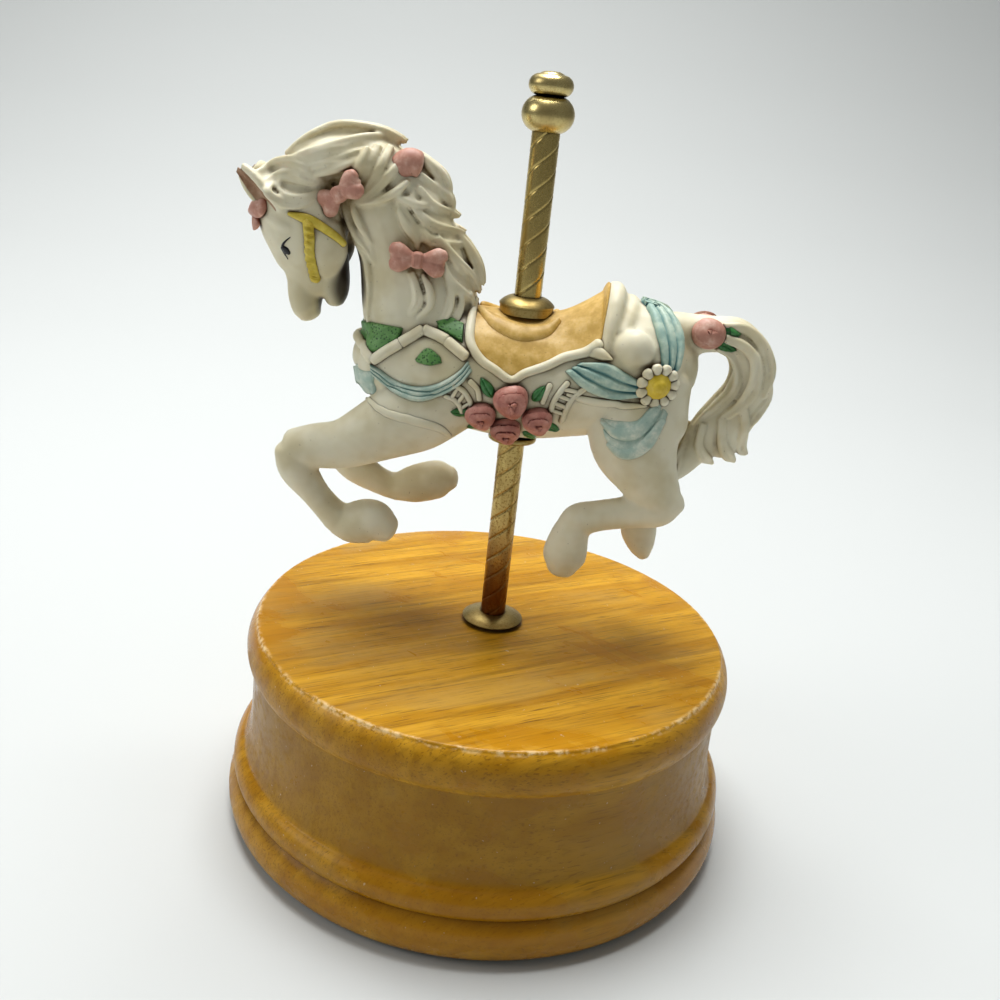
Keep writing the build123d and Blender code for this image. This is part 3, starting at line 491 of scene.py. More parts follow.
def pull(start: Point, handle: Point, end: Point, steps: int = 20) -> list[Point]:
    """Points on a curve drawn from start to end and pulled towards a handle.

    Args:
        start: first point, left out of the result.
        handle: the point that the curve is pulled towards.
        end: last point.
        steps: number of points returned.

    Returns:
        Points after the start, up to and with the end.
    """
    points = []
    for k in range(1, steps + 1):
        t = k / steps
        a, b, c = (1 - t) ** 2, 2 * t * (1 - t), t * t
        points.append(tuple(a * p + b * q + c * r for p, q, r in zip(start, handle, end)))
    return points


def turned(name: str, outline: Sequence[Point], steps: int = 192, closed: bool = True) -> bpy.types.Object:
    """Turn an outline about Z, as on a lathe.

    Args:
        name: the piece's name.
        outline: (radius, height) points in millimetres.
        steps: segments round the axis.
        closed: whether the outline's last point joins its first.

    Returns:
        The turned piece.
    """
    mesh = bpy.data.meshes.new(name)
    count = len(outline)
    edges = [(k, (k + 1) % count) for k in range(count if closed else count - 1)]
    mesh.from_pydata([mm(r, 0, z) for r, z in outline], edges, [])
    obj = bpy.data.objects.new(name, mesh)
    bpy.context.collection.objects.link(obj)
    finish_with(obj, "SCREW", steps=steps, render_steps=steps, angle=math.tau, use_merge_vertices=True,
                merge_threshold=mm(0.0005))
    merge_and_face_out(obj)
    smooth(obj)
    return obj


def dress(obj: bpy.types.Object, material: bpy.types.Material) -> None:
    """Give a piece its material, and name the record's slot where it has one.

    Args:
        obj: the piece.
        material: its material, alone.
    """
    obj.data.materials.clear()
    obj.data.materials.append(material)


# ------------------------------------------------------------------ modelling in clay


def flow(points: Sequence[Sequence[float]], steps: int) -> list[Vector]:
    """Smooth curve through points of any size, as a list of samples.

    Args:
        points: points that the curve passes through.
        steps: samples between two neighbours.

    Returns:
        Samples from the first point to the last.
    """
    known = [Vector(p) for p in points]
    known = [known[0] * 2 - known[1], *known, known[-1] * 2 - known[-2]]
    samples = []
    for k in range(1, len(known) - 2):
        a, b, c, d = known[k - 1 : k + 3]
        for step in range(steps):
            t = step / steps
            samples.append(0.5 * ((2 * b) + (c - a) * t + (2 * a - 5 * b + 4 * c - d) * t**2
                                  + (3 * b - a - 3 * c + d) * t**3))
    samples.append(known[-2].copy())
    return samples


def mesh_object(name: str, verts: Sequence[Vector], faces: Sequence[Sequence[int]]) -> bpy.types.Object:
    """Link a new mesh given in millimetres and turn its faces outwards.

    Args:
        name: the piece's name.
        verts: points in millimetres.
        faces: the points of each face, by number.

    Returns:
        The piece.
    """
    mesh = bpy.data.meshes.new(name)
    mesh.from_pydata([v * 0.001 for v in verts], [], faces)
    obj = bpy.data.objects.new(name, mesh)
    bpy.context.collection.objects.link(obj)
    merge_and_face_out(obj)
    return obj


def rings_object(name: str, rings: Sequence[Sequence[Vector]]) -> bpy.types.Object:
    """Skin closed rings of equal count and close both ends.

    Args:
        name: the piece's name.
        rings: the rings, from one end to the other.

    Returns:
        The piece.
    """
    count = len(rings[0])
    verts = [v for ring in rings for v in ring]
    faces = [[r * count + k, r * count + (k + 1) % count, (r + 1) * count + (k + 1) % count,
              (r + 1) * count + k] for r in range(len(rings) - 1) for k in range(count)]
    faces += [list(range(count)), [len(verts) - count + k for k in range(count)]]
    return mesh_object(name, verts, faces)


def limb(name: str, stations: Sequence[Station], sides: int = 20, steps: int = 5, cap: float = 0.55,
         across: Vector = Vector((0, 1, 0)), upright: bool = False) -> bpy.types.Object:
    """Loft a round-ended limb through oval stations.

    Args:
        name: the piece's name.
        stations: (x, y, z, half depth, half width) in millimetres.
        sides: points on each section.
        steps: sections between two stations.
        cap: length of the rounded ends as a share of the end section.
        across: the direction in which the width lies.
        upright: keep every section square to X, however steeply the limb climbs.

    Returns:
        The limb.
    """
    samples = flow(stations, steps)
    centres = [Vector(s[:3]) for s in samples]
    rings = []
    last = len(samples) - 1
    for k, sample in enumerate(samples):
        ahead = (centres[min(k + 1, last)] - centres[max(k - 1, 0)]).normalized()
        line = Vector((1, 0, 0)) if upright else ahead
        side = (across - line * line.dot(across)).normalized()
        front = line.cross(side)
        depth, width = max(sample[3], 0.15), max(sample[4], 0.15)
        places = [(0.0, 1.0)]
        if k in (0, last):
            reach = cap * min(depth, width)
            turns = [math.radians(a) for a in (25, 50, 72, 85)]
            places += [(reach * math.sin(a), math.cos(a)) for a in turns]
            if k == 0:
                places = [(-shift, scale) for shift, scale in reversed(places)]
        for shift, scale in places:
            ring = []
            for n in range(sides):
                a = math.tau * n / sides
                ring.append(centres[k] + line * shift + side * (width * scale * math.cos(a))
                            + front * (depth * scale * math.sin(a)))
            rings.append(ring)
    return rings_object(name, rings)


def join(name: str, parts: Sequence[bpy.types.Object]) -> bpy.types.Object:
    """Join pieces into one object.

    Args:
        name: the joined piece's name.
        parts: the pieces.

    Returns:
        The joined piece.
    """
    pick(*parts)
    bpy.ops.object.join()
    whole = bpy.context.view_layer.objects.active
    whole.name = name
    return whole


def cast(obj: bpy.types.Object, grain: float, rounds: int, factor: float = 0.5) -> None:
    """Fuse overlapping pieces into one skin, as slip does in a mould, and soften it.

    Args:
        obj: joined pieces.
        grain: size of the finest detail kept, in millimetres.
        rounds: softening passes.
        factor: strength of each pass.
    """
    finish_with(obj, "REMESH", mode="VOXEL", voxel_size=mm(grain), use_smooth_shade=True)
    finish_with(obj, "SMOOTH", factor=factor, iterations=rounds)


class Skin:
    """The surface of a piece, to model reliefs on."""

    def __init__(self, obj: bpy.types.Object, middle: float = 103.0) -> None:
        """Keep the piece's surface.

        Args:
            obj: the piece.
            middle: height of the body's axis in millimetres, for places given by an angle.
        """
        self.middle = middle
        mesh = obj.data
        self.tree = BVHTree.FromPolygons([v.co * 1000 for v in mesh.vertices],
                                         [p.vertices[:] for p in mesh.polygons])

    def nearest(self, place: Vector) -> tuple[Vector, Vector]:
        """Surface point and outward normal nearest to a place.

        Args:
            place: a place close to the surface, in millimetres.

        Returns:
            The surface point and its normal.
        """
        hit, normal, _, _ = self.tree.find_nearest(place)
        out = Vector((0, place.y, place.z - hit.z)) if abs(place.y) > 0.1 else place - hit
        if (hit - place).length > 0.01 and normal.dot(place - hit) < 0 and normal.dot(out) < -0.9:
            normal = -normal
        return hit, normal

    def from_side(self, x: float, z: float, side: int = -1) -> tuple[Vector, Vector]:
        """Point and normal seen from the side.

        Args:
            x: place along the horse.
            z: height.
            side: -1 for the near side, 1 for the far side.

        Returns:
            The surface point and its normal.
        """
        hit, normal, _, _ = self.tree.ray_cast(Vector((x, 60.0 * side, z)), Vector((0, -side, 0)))
        if hit is None:
            hit, normal, _, _ = self.tree.find_nearest(Vector((x, 1.5 * side, z)))
        if normal.y * side < -0.2:
            normal = -normal
        return hit, normal

    def from_round(self, x: float, angle: float) -> tuple[Vector, Vector]:
        """Point and normal at an angle round the body.

        Args:
            x: place along the horse.
            angle: degrees from the top, positive towards the near side.

        Returns:
            The surface point and its normal.
        """
        out = Vector((0, -math.sin(math.radians(angle)), math.cos(math.radians(angle))))
        start = Vector((x, 0, self.middle)) + out * 40
        hit, normal, _, _ = self.tree.ray_cast(start, -out)
        if hit is None:
            hit, normal, _, _ = self.tree.find_nearest(start - out * 28)
        return hit, normal if normal.dot(out) > 0 else -normal


@dataclass(frozen=True)
class Lock:
    """One lock of hair, drawn on the side of the horse.

    Fields: (x, z) points along it in millimetres, its half width and its number of strands.
    """

    path: tuple[Point, ...]
    half_width: float = 1.2
    strands: int = 2
    lift: float = 0.3


def comb_lock(lock: Lock, skin: Skin, side: int) -> list[bpy.types.Object]:
    """Lay the strands of a lock on the surface.

    Args:
        lock: the lock.
        skin: surface below it.
        side: -1 for the near side, 1 for the far side.

    Returns:
        One tapered tube for each strand.
    """
    line = flow([(*p, 0.0) for p in lock.path], 5)
    last = len(line) - 1
    ground = [skin.from_side(p.x, p.y, side)[0].y for p in line]
    for _ in range(3):
        ground = [(ground[max(k - 1, 0)] + 2 * ground[k] + ground[min(k + 1, last)]) / 4
                  for k in range(last + 1)]
    tubes = []
    for n in range(lock.strands):
        slot = 0.0 if lock.strands == 1 else 2 * n / (lock.strands - 1) - 1
        stations = []
        for k, point in enumerate(line):
            t = k / last
            swell = 0.30 + 0.70 * math.sin(math.pi * min(1.0, 0.12 + 0.88 * t)) ** 0.7
            ahead = line[min(k + 1, last)] - line[max(k - 1, 0)]
            beside = Vector((-ahead.y, ahead.x)).normalized()
            radius = lock.half_width * swell * (1.0 if lock.strands == 1 else 1.15 / lock.strands)
            sway = 0.0 if lock.strands == 1 else 0.34 * radius * math.sin(7 * t + 2.3 * n)
            shift = slot * (lock.half_width * swell - radius) + sway
            lean = 0.25 * radius * math.sin(5 * t + 2 * n)
            x, z = point.x + beside.x * shift, point.y + beside.y * shift
            y = ground[k] + side * (lock.lift * radius + lean)
            stations.append((x, y, z, radius, radius * 1.05))
        tubes.append(limb("strand", stations, 10, 1, 0.7))
    return tubes


def cupped_leaf(name: str, spine: Sequence[Place], half_widths: Sequence[float], open_to: Vector,
                bend: float, thickness: float, rows: int = 12, columns: int = 8) -> bpy.types.Object:
    """Curl a leaf-shaped sheet round its spine.

    Args:
        name: the piece's name.
        spine: points from the root to the tip.
        half_widths: half width at each point.
        open_to: direction that the hollow faces.
        bend: half angle of the curl in degrees.
        thickness: wall in millimetres.
        rows: steps along the spine between points.
        columns: steps across.

    Returns:
        The leaf, with both faces and its rim.
    """
    samples = flow([(*p, w) for p, w in zip(spine, half_widths)], max(2, rows // (len(spine) - 1)))
    verts = []
    last = len(samples) - 1
    for k, sample in enumerate(samples):
        centre = Vector(sample[:3])
        line = (Vector(samples[min(k + 1, last)][:3]) - Vector(samples[max(k - 1, 0)][:3])).normalized()
        out = (open_to - line * line.dot(open_to)).normalized()
        side = line.cross(out)
        curl = math.radians(bend)
        radius = max(sample[3], 0.05) / math.sin(min(curl, math.pi / 2))
        for c in range(columns + 1):
            a = curl * (2 * c / columns - 1)
            verts.append(centre + side * (radius * math.sin(a)) + out * (radius * (1 - math.cos(a))))
    row = columns + 1
    faces = [[k * row + c, k * row + c + 1, (k + 1) * row + c + 1, (k + 1) * row + c]
             for k in range(last) for c in range(columns)]
    obj = mesh_object(name, verts, faces)
    finish_with(obj, "SOLIDIFY", thickness=mm(thickness), offset=0.0)
    return obj


# ------------------------------------------------------------------ base


@dataclass
class WoodenBase:
    """Turned case: foot torus, bead, slightly waisted neck and a top with a rounded nosing."""

    height: float = 46.0
    foot_edge: Point = (53.4, 0.0)
    foot_widest: Point = (57.0, 5.7)
    groove: Point = (54.9, 10.4)
    bead: Point = (56.0, 12.9)
    neck_bottom: Point = (53.8, 16.6)
    neck_handle: Point = (51.8, 20.0)
    neck_top: Point = (52.2, 36.8)
    nosing_start: Point = (52.5, 36.8)
    nosing: Point = (53.6, 40.9)
    top_radius: float = 51.6
    edge_round: float = 0.5
    bush_radius: float = 4.05
    cavity: Point = (43.0, 40.0)
    recess: Point = (46.5, 15.0)
    finish: LacqueredWood = field(default_factory=LacqueredWood)

    def outline(self) -> list[Point]:
        """Closed outline of the wall, from the foot's inner edge round the outside."""
        top = (self.top_radius, self.height - self.edge_round)
        points = [self.foot_edge]
        points += bow(self.foot_edge, self.foot_widest, self.groove, 28)
        points += bow(self.groove, self.bead, self.neck_bottom, 18)
        points += pull(self.neck_bottom, self.neck_handle, self.neck_top, 26)
        points += [self.nosing_start]
        points += bow(self.nosing_start, self.nosing, top, 28)
        inner = (self.top_radius - self.edge_round, self.height)
        corner = (self.top_radius - 0.3 * self.edge_round, self.height - 0.3 * self.edge_round)
        points += bow(top, corner, inner, 5)
        rings = [self.top_radius * k / 6 for k in (5, 4, 3, 2, 1)]
        points += [(r, self.height) for r in rings]
        cavity_radius, cavity_top = self.cavity
        recess_radius, recess_top = self.recess
        points += [(self.bush_radius, self.height), (self.bush_radius, cavity_top), self.cavity]
        points += [(cavity_radius, recess_top), self.recess, (recess_radius, 0.0)]
        return points

    def build(self) -> None:
        """Turn the case and give it its wood."""
        case = turned("wooden_case", self.outline(), 256)
        dress(case, self.finish.material())
        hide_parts("base_body")
        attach(case, "base")


# ------------------------------------------------------------------ brass fittings


@dataclass
class BrassFittings:
    """Spiral pole, collars, flange and finial."""

    pole_radius: float = 2.74
    groove_depth: float = 0.16
    groove_width: float = 0.40
    groove_starts: int = 3
    groove_lead: float = 14.4
    slices_per_lead: int = 96
    sides: int = 96

    def spiral(self, name: str, bottom: float, top: float) -> bpy.types.Object:
        """Roll a tube with several grooves wound to the right.

        Args:
            name: the piece's name.
            bottom: lower end in millimetres.
            top: upper end in millimetres.

        Returns:
            The tube, closed at both ends.
        """
        bpy.ops.object.select_all(action="DESELECT")
        slices = round((top - bottom) / self.groove_lead * self.slices_per_lead)
        bpy.ops.mesh.primitive_cylinder_add(
            vertices=self.sides, radius=mm(self.pole_radius), depth=mm(top - bottom),
            location=mm(0, 0, (bottom + top) / 2), end_fill_type="NGON")
        tube = bpy.context.object
        tube.name = name
        bpy.ops.object.transform_apply(location=True, rotation=True, scale=True)
        bpy.ops.object.mode_set(mode="EDIT")
        cuts = bmesh.from_edit_mesh(tube.data)
        sides = [e for e in cuts.edges if abs(e.verts[0].co.z - e.verts[1].co.z) > mm(1)]
        bmesh.ops.subdivide_edges(cuts, edges=sides, cuts=slices, use_grid_fill=True)
        half_width = self.groove_width / 2
        for vertex in cuts.verts:
            turn = math.atan2(vertex.co.y, vertex.co.x) / math.tau
            phase = (vertex.co.z * 1000 / self.groove_lead - turn) * self.groove_starts
            away = abs(phase - round(phase)) * self.groove_lead / self.groove_starts
            depth = self.groove_depth * math.exp(-((away / half_width) ** 2))
            scale = 1 - depth / self.pole_radius
            vertex.co.x *= scale
            vertex.co.y *= scale
        bmesh.update_edit_mesh(tube.data)
        bpy.ops.object.mode_set(mode="OBJECT")
        smooth(tube, 60)
        return tube

    def build(self) -> None:
        """Make the pole and dress every fitting."""
        bright = Brass("lacquered_brass", color="D2C084")
        upper = Brass("pole_brass", color="C2AC6C", rough=0.2, speckle=0.12)
        aged = Brass("aged_pole_brass", color="C0A86A", rough=0.28, speckle=0.7, stain=0.9, stain_height=62.0)
        dull = Brass("satin_collar_brass", color="AE9A62", rough=0.34, speckle=0.35)
        for node, finish in (("lower_pole", aged), ("upper_pole", upper)):
            low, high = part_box(node)
            tube = self.spiral(f"spiral_{node}", low[2] * 1000, high[2] * 1000)
            dress(tube, finish.material())
            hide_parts(node)
            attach(tube, "carousel")
        finishes = {"base_flange": dull, "belly_collar": dull, "saddle_collar": dull, "finial_bead": bright,
                    "finial_cap": bright}
        made = {finish.name: finish.material() for finish in (bright, dull)}
        for node, finish in finishes.items():
            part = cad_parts[node]
            dress(part, made[finish.name])
            smooth(part, 40)


# ------------------------------------------------------------------ horse


@dataclass
class Horse:
    """Bisque porcelain horse in a jumping pose, with a combed mane and tail.

    Stations are (x, y, z, half depth, half width).
    """

    ear_line: tuple[Place, ...] = (
        (-49.6, 4.2, 131.4), (-51.8, 4.8, 134.0), (-54.6, 5.0, 136.6), (-57.0, 5.0, 138.2))
    ear_widths: tuple[float, ...] = (2.2, 2.9, 2.6, 1.3)
    ear_facing: Place = (-0.62, 0.7, -0.34)
    trunk: tuple[Station, ...] = (
        (-32.0, 0, 105.0, 4.4, 4.6), (-30.6, 0, 104.6, 7.8, 8.2), (-25.6, 0, 104.0, 10.6, 10.8),
        (-14.0, 0, 103.6, 12.2, 12.2), (0.0, 0, 102.6, 12.9, 12.7), (11.0, 0, 103.6, 12.3, 12.5),
        (19.5, 0, 106.5, 13.5, 12.1), (25.5, 0, 107.4, 13.2, 11.7), (30.6, 0, 108.2, 10.8, 9.6),
        (32.8, 0, 108.4, 6.6, 6.2))
    cantle: tuple[Station, ...] = (
        (3.0, 0, 104.6, 10.9, 10.5), (8.0, 0, 105.6, 11.3, 10.3), (12.0, 0, 107.4, 11.8, 10.0),
        (15.4, 0, 109.2, 12.4, 9.6), (17.6, 0, 109.4, 12.6, 9.2), (19.4, 0, 108.6, 11.8, 9.0))
    cantle_roll: tuple[Station, ...] = (
        (15.9, -10.6, 111.2, 0.9, 0.9), (16.6, -9.4, 114.2, 1.3, 1.3), (17.1, -7.4, 117.8, 1.7, 1.7),
        (17.4, -4.2, 120.8, 2.1, 2.0), (17.5, 0, 121.7, 2.2, 2.1), (17.4, 4.2, 120.8, 2.1, 2.0),
        (17.1, 7.4, 117.8, 1.7, 1.7), (16.6, 9.4, 114.2, 1.3, 1.3), (15.9, 10.6, 111.2, 0.9, 0.9))
    croup_fold: tuple[Station, ...] = (
        (19.4, -8.6, 115.2, 1.5, 1.6), (20.4, -5.2, 118.2, 1.8, 1.8), (20.8, 0, 119.8, 1.9, 1.9),
        (20.4, 5.2, 118.2, 1.8, 1.8), (19.4, 8.6, 115.2, 1.5, 1.6))
    flank_puff: tuple[Station, ...] = (
        (19.0, -9.8, 112.2, 2.8, 2.2), (21.6, -10.1, 112.4, 4.2, 3.3), (24.4, -9.9, 111.4, 2.8, 2.3))
    neck: tuple[Station, ...] = (
        (-19.5, 0, 104.0, 11.4, 10.2), (-22.0, 0, 115.0, 11.4, 8.4), (-25.2, 0, 126.0, 9.8, 6.9),
        (-30.0, 0, 135.0, 8.8, 6.4), (-36.0, 0, 140.4, 6.0, 5.6), (-40.0, 0, 142.6, 3.2, 3.6))
    mane: tuple[Station, ...] = (
        (-50.4, 0, 136.2, 1.8, 3.2), (-46.5, 0, 138.4, 3.8, 5.6), (-40.5, 0, 141.2, 4.6, 6.6),
        (-33.0, 0, 141.6, 4.9, 6.9), (-26.5, 0, 138.0, 5.2, 6.5), (-21.0, 0, 131.0, 4.8, 6.2),
        (-16.5, 0, 123.0, 4.2, 5.8), (-13.5, 0, 117.0, 3.4, 5.2))
    skull: tuple[Station, ...] = (
        (-45.8, 0, 137.5, 7.4, 5.4), (-46.6, 0, 133.6, 8.9, 6.6), (-45.6, 0, 128.6, 8.9, 6.9),
        (-44.5, 0, 124.2, 7.7, 6.4), (-43.4, 0, 120.2, 6.5, 5.2), (-43.4, 0, 116.6, 5.2, 4.3))
    nose: tuple[Station, ...] = (
        (-44.6, 0, 119.0, 4.2, 4.2), (-45.0, 0, 115.2, 3.5, 4.2), (-44.5, 0, 112.2, 3.1, 4.3),
        (-43.8, 0, 110.6, 2.3, 3.4))
    chin: tuple[Station, ...] = (
        (-40.8, 0, 121.5, 4.6, 4.6), (-39.4, 0, 118.0, 3.4, 4.2), (-38.9, 0, 115.4, 2.7, 3.6),
        (-38.8, 0, 113.8, 1.9, 2.7))
    cheek: tuple[Station, ...] = (
        (-41.5, -3.4, 128.5, 4.0, 2.8), (-40.6, -4.0, 124.2, 4.6, 3.2), (-40.4, -3.4, 120.4, 3.0, 2.4))
    brow: tuple[Station, ...] = (
        (-52.6, -3.6, 130.2, 1.0, 1.0), (-49.8, -5.6, 129.0, 1.3, 1.1), (-47.2, -6.3, 128.2, 0.9, 0.8))
    near_fore: tuple[Station, ...] = (
        (-12.0, -5.0, 99.0, 7.6, 5.6), (-20.0, -7.4, 94.6, 8.4, 5.4), (-27.0, -8.6, 90.4, 6.7, 4.8),
        (-34.0, -9.1, 86.7, 5.2, 4.2), (-39.6, -9.2, 85.6, 4.7, 3.9), (-44.4, -9.2, 84.6, 4.0, 3.8))
    near_shank: tuple[Station, ...] = (
        (-44.9, -9.3, 84.6, 3.4, 3.6), (-43.3, -9.3, 80.4, 3.9, 3.7), (-39.6, -9.3, 75.6, 3.0, 2.9),
        (-36.4, -9.3, 72.2, 3.0, 2.9), (-34.2, -9.3, 70.4, 3.4, 3.2), (-31.8, -9.3, 69.6, 3.0, 3.0))
    near_hoof: tuple[Station, ...] = (
        (-34.4, -9.2, 69.6, 3.2, 3.2), (-31.4, -9.2, 69.6, 4.4, 4.2), (-27.0, -9.2, 70.4, 4.6, 4.4),
        (-23.6, -9.2, 69.0, 2.9, 3.4))
    far_fore: tuple[Station, ...] = (
        (-12.0, 5.0, 99.0, 7.6, 5.6), (-20.0, 7.4, 93.6, 8.2, 5.4), (-28.5, 8.8, 87.0, 6.0, 4.7),
        (-35.0, 9.2, 81.6, 4.6, 4.0), (-38.6, 9.2, 78.4, 3.6, 3.4))
    far_shank: tuple[Station, ...] = (
        (-38.4, 9.2, 79.2, 3.3, 3.2), (-34.0, 9.2, 75.6, 3.7, 3.4), (-28.0, 9.2, 72.6, 3.0, 2.9),
        (-24.0, 9.2, 71.8, 3.2, 3.0))
    far_hoof: tuple[Station, ...] = (
        (-24.4, 9.2, 71.8, 3.2, 3.2), (-20.6, 9.2, 73.0, 4.3, 4.0), (-15.2, 9.2, 74.8, 4.3, 4.0),
        (-12.4, 9.2, 75.4, 2.6, 3.0))
    near_thigh: tuple[Station, ...] = (
        (27.0, -4.6, 107.5, 8.2, 5.6), (25.0, -6.4, 100.0, 10.2, 5.8), (25.2, -7.6, 93.0, 9.3, 5.2),
        (28.4, -8.2, 86.6, 6.5, 4.6), (31.8, -8.2, 81.8, 4.6, 4.0), (33.2, -8.2, 79.4, 3.0, 3.2))
    near_hind: tuple[Station, ...] = (
        (35.4, -8.2, 82.0, 2.4, 2.8), (31.6, -8.2, 80.2, 4.2, 3.7), (25.0, -8.2, 78.2, 3.4, 3.1),
        (19.6, -8.2, 76.8, 3.3, 3.0), (15.8, -8.2, 75.4, 3.6, 3.3), (13.8, -8.2, 73.4, 3.0, 3.0))
    near_hind_hoof: tuple[Station, ...] = (
        (15.6, -8.2, 75.4, 3.1, 3.1), (14.3, -8.2, 71.6, 4.1, 3.8), (13.7, -8.2, 67.0, 4.6, 4.2),
        (13.4, -8.2, 64.2, 3.2, 3.4))
    far_thigh: tuple[Station, ...] = (
        (27.0, 4.6, 107.5, 8.2, 5.6), (25.0, 6.4, 100.0, 10.2, 5.8), (25.6, 7.6, 93.0, 9.3, 5.2),
        (28.4, 8.2, 86.6, 6.4, 4.6), (31.0, 8.2, 81.0, 4.4, 3.9))
    far_hind: tuple[Station, ...] = (
        (33.2, 8.2, 82.4, 2.8, 2.8), (31.0, 8.2, 78.0, 3.9, 3.6), (30.2, 8.2, 73.4, 3.2, 3.1),
        (30.2, 8.2, 70.8, 3.2, 3.0))
    far_hind_hoof: tuple[Station, ...] = (
        (30.0, 8.2, 72.6, 3.2, 3.2), (30.6, 8.2, 68.6, 4.1, 3.9), (31.8, 8.2, 64.6, 3.0, 3.2),
        (32.6, 8.2, 62.4, 1.6, 2.0))
    dock: tuple[Station, ...] = (
        (30.4, 0, 114.4, 4.9, 4.6), (36.6, 0, 115.4, 3.8, 3.6), (42.8, 0, 115.2, 3.8, 3.7),
        (47.4, 0, 110.0, 4.2, 3.9), (46.8, 0, 103.0, 4.6, 4.0), (44.0, 0, 97.0, 5.0, 4.0),
        (43.6, 0, 91.8, 3.4, 3.4))
    tail_tuck: tuple[Station, ...] = (
        (44.0, 0, 99.5, 3.8, 3.6), (39.6, -0.5, 93.6, 3.7, 3.4), (35.6, -3.0, 88.6, 2.8, 2.8),
        (32.4, -5.0, 86.0, 2.0, 2.2))
    crest_locks: tuple[Lock, ...] = (
        Lock(((-53, 137), (-50, 139), (-46, 139.5), (-43, 138.5), (-40, 137)), 2.2, 5, 1.1),
        Lock(((-52.5, 135.5), (-49.5, 137.4), (-45.5, 137.6), (-42.5, 137), (-39.6, 136)), 1.3, 3, 0.9),
        Lock(((-51, 136.5), (-51, 134.5), (-48.5, 133), (-45, 133), (-41, 135.5)), 1.1, 2, 0.8),
        Lock(((-49.5, 137), (-49.5, 135), (-47, 134), (-44, 134.5), (-41, 136)), 0.7, 1, 0.5),
        Lock(((-49, 141), (-45.5, 143.5), (-40.5, 146), (-36, 146.8), (-31, 147), (-26.5, 146)), 2.0, 3, 0.4),
        Lock(((-48, 140), (-44.5, 142), (-39.5, 144), (-35.5, 145.2), (-31.5, 146), (-28, 145.4)),
             1.3, 2, 0.9),
        Lock(((-45, 140.5), (-42, 142), (-38, 143.5), (-35, 144.8), (-32, 146)), 1.0, 2, 0.5),
        Lock(((-44, 139.5), (-40.5, 141), (-37, 142), (-33.5, 144)), 1.0, 2, 0.5),
        Lock(((-43, 138.3), (-39.5, 139.6), (-36, 141), (-33, 143)), 0.9, 1, 0.5),
        Lock(((-33, 144.2), (-34, 141), (-35.5, 138), (-37, 135)), 1.0, 1, 0.6),
        Lock(((-31.2, 145), (-32.2, 141.5), (-33.5, 138), (-35.5, 134.8)), 1.0, 2, 0.5),
        Lock(((-29, 145), (-30.3, 141), (-32, 137.5), (-35, 134.2)), 1.1, 2, 0.5),
        Lock(((-26.5, 143), (-28.3, 140), (-31, 136.8), (-34.5, 134)), 1.1, 2, 0.5),
        Lock(((-25, 139), (-27, 137), (-30, 135.2), (-34, 133.8)), 0.9, 1, 0.5))
    neck_locks: tuple[Lock, ...] = (
        Lock(((-37.5, 133.6), (-36.2, 130.5), (-34.2, 128), (-32, 126), (-30.5, 123)), 1.2, 2, 0.5),
        Lock(((-35.5, 134), (-34.5, 131.5), (-33, 129), (-31, 126.5)), 0.9, 1, 0.5),
        Lock(((-36.5, 131), (-34.8, 127), (-32.3, 123.5), (-31.2, 118), (-31.2, 112.5), (-30.8, 108)),
             0.8, 1, 0.15),
        Lock(((-26.5, 135.4), (-24, 132), (-21, 129.4), (-17.5, 128), (-13.4, 128)), 1.2, 2, 0.6),
        Lock(((-24.5, 136.4), (-22, 133.2), (-18.5, 131), (-13.6, 130.4)), 1.1, 2, 0.6),
        Lock(((-23, 138), (-20.5, 135.6), (-17.6, 133.8), (-14.8, 133.2)), 1.1, 2, 0.5),
        Lock(((-23.4, 140.4), (-20.5, 138.4), (-17.8, 136.6), (-16.4, 134.4)), 1.2, 2, 0.5),
        Lock(((-25, 143.8), (-22.2, 142.6), (-19.4, 140.4), (-17.2, 137.4)), 1.4, 2, 0.3),
        Lock(((-27.5, 136.8), (-25, 135.6), (-22, 135), (-19, 135.4)), 0.8, 1, 0.5),
        Lock(((-26.2, 133.8), (-24.6, 130.8), (-22.6, 128.4), (-22.2, 126)), 0.9, 1, 0.6),
        Lock(((-22, 131), (-20.2, 129), (-19.6, 126.6)), 0.8, 1, 0.6),
        Lock(((-23, 122.4), (-21.6, 119.6), (-21, 117), (-22.6, 114.4)), 1.0, 2, 0.5),
        Lock(((-20.6, 122.2), (-19, 119.2), (-18.8, 116.4), (-20.8, 113.8)), 0.9, 1, 0.5),
        Lock(((-18.6, 129), (-15.4, 126), (-12.4, 122.6), (-9.6, 118.8)), 1.3, 2, 0.5),
        Lock(((-15.5, 130), (-12.8, 127.6), (-10.8, 124.4), (-9, 120.4)), 1.2, 2, 0.4),
        Lock(((-18, 126), (-15.8, 122), (-12.8, 119), (-10.4, 116.8)), 1.1, 2, 0.5),
        Lock(((-16.6, 122.5), (-15, 119), (-15.4, 115.4), (-17.4, 112)), 1.0, 2, 0.5),
        Lock(((-14, 120.6), (-12.8, 117.4), (-13.6, 114), (-15.6, 111)), 0.9, 2, 0.5),
        Lock(((-11.4, 119), (-10.8, 115.8), (-11.8, 113), (-13.4, 110.6)), 0.9, 1, 0.4))
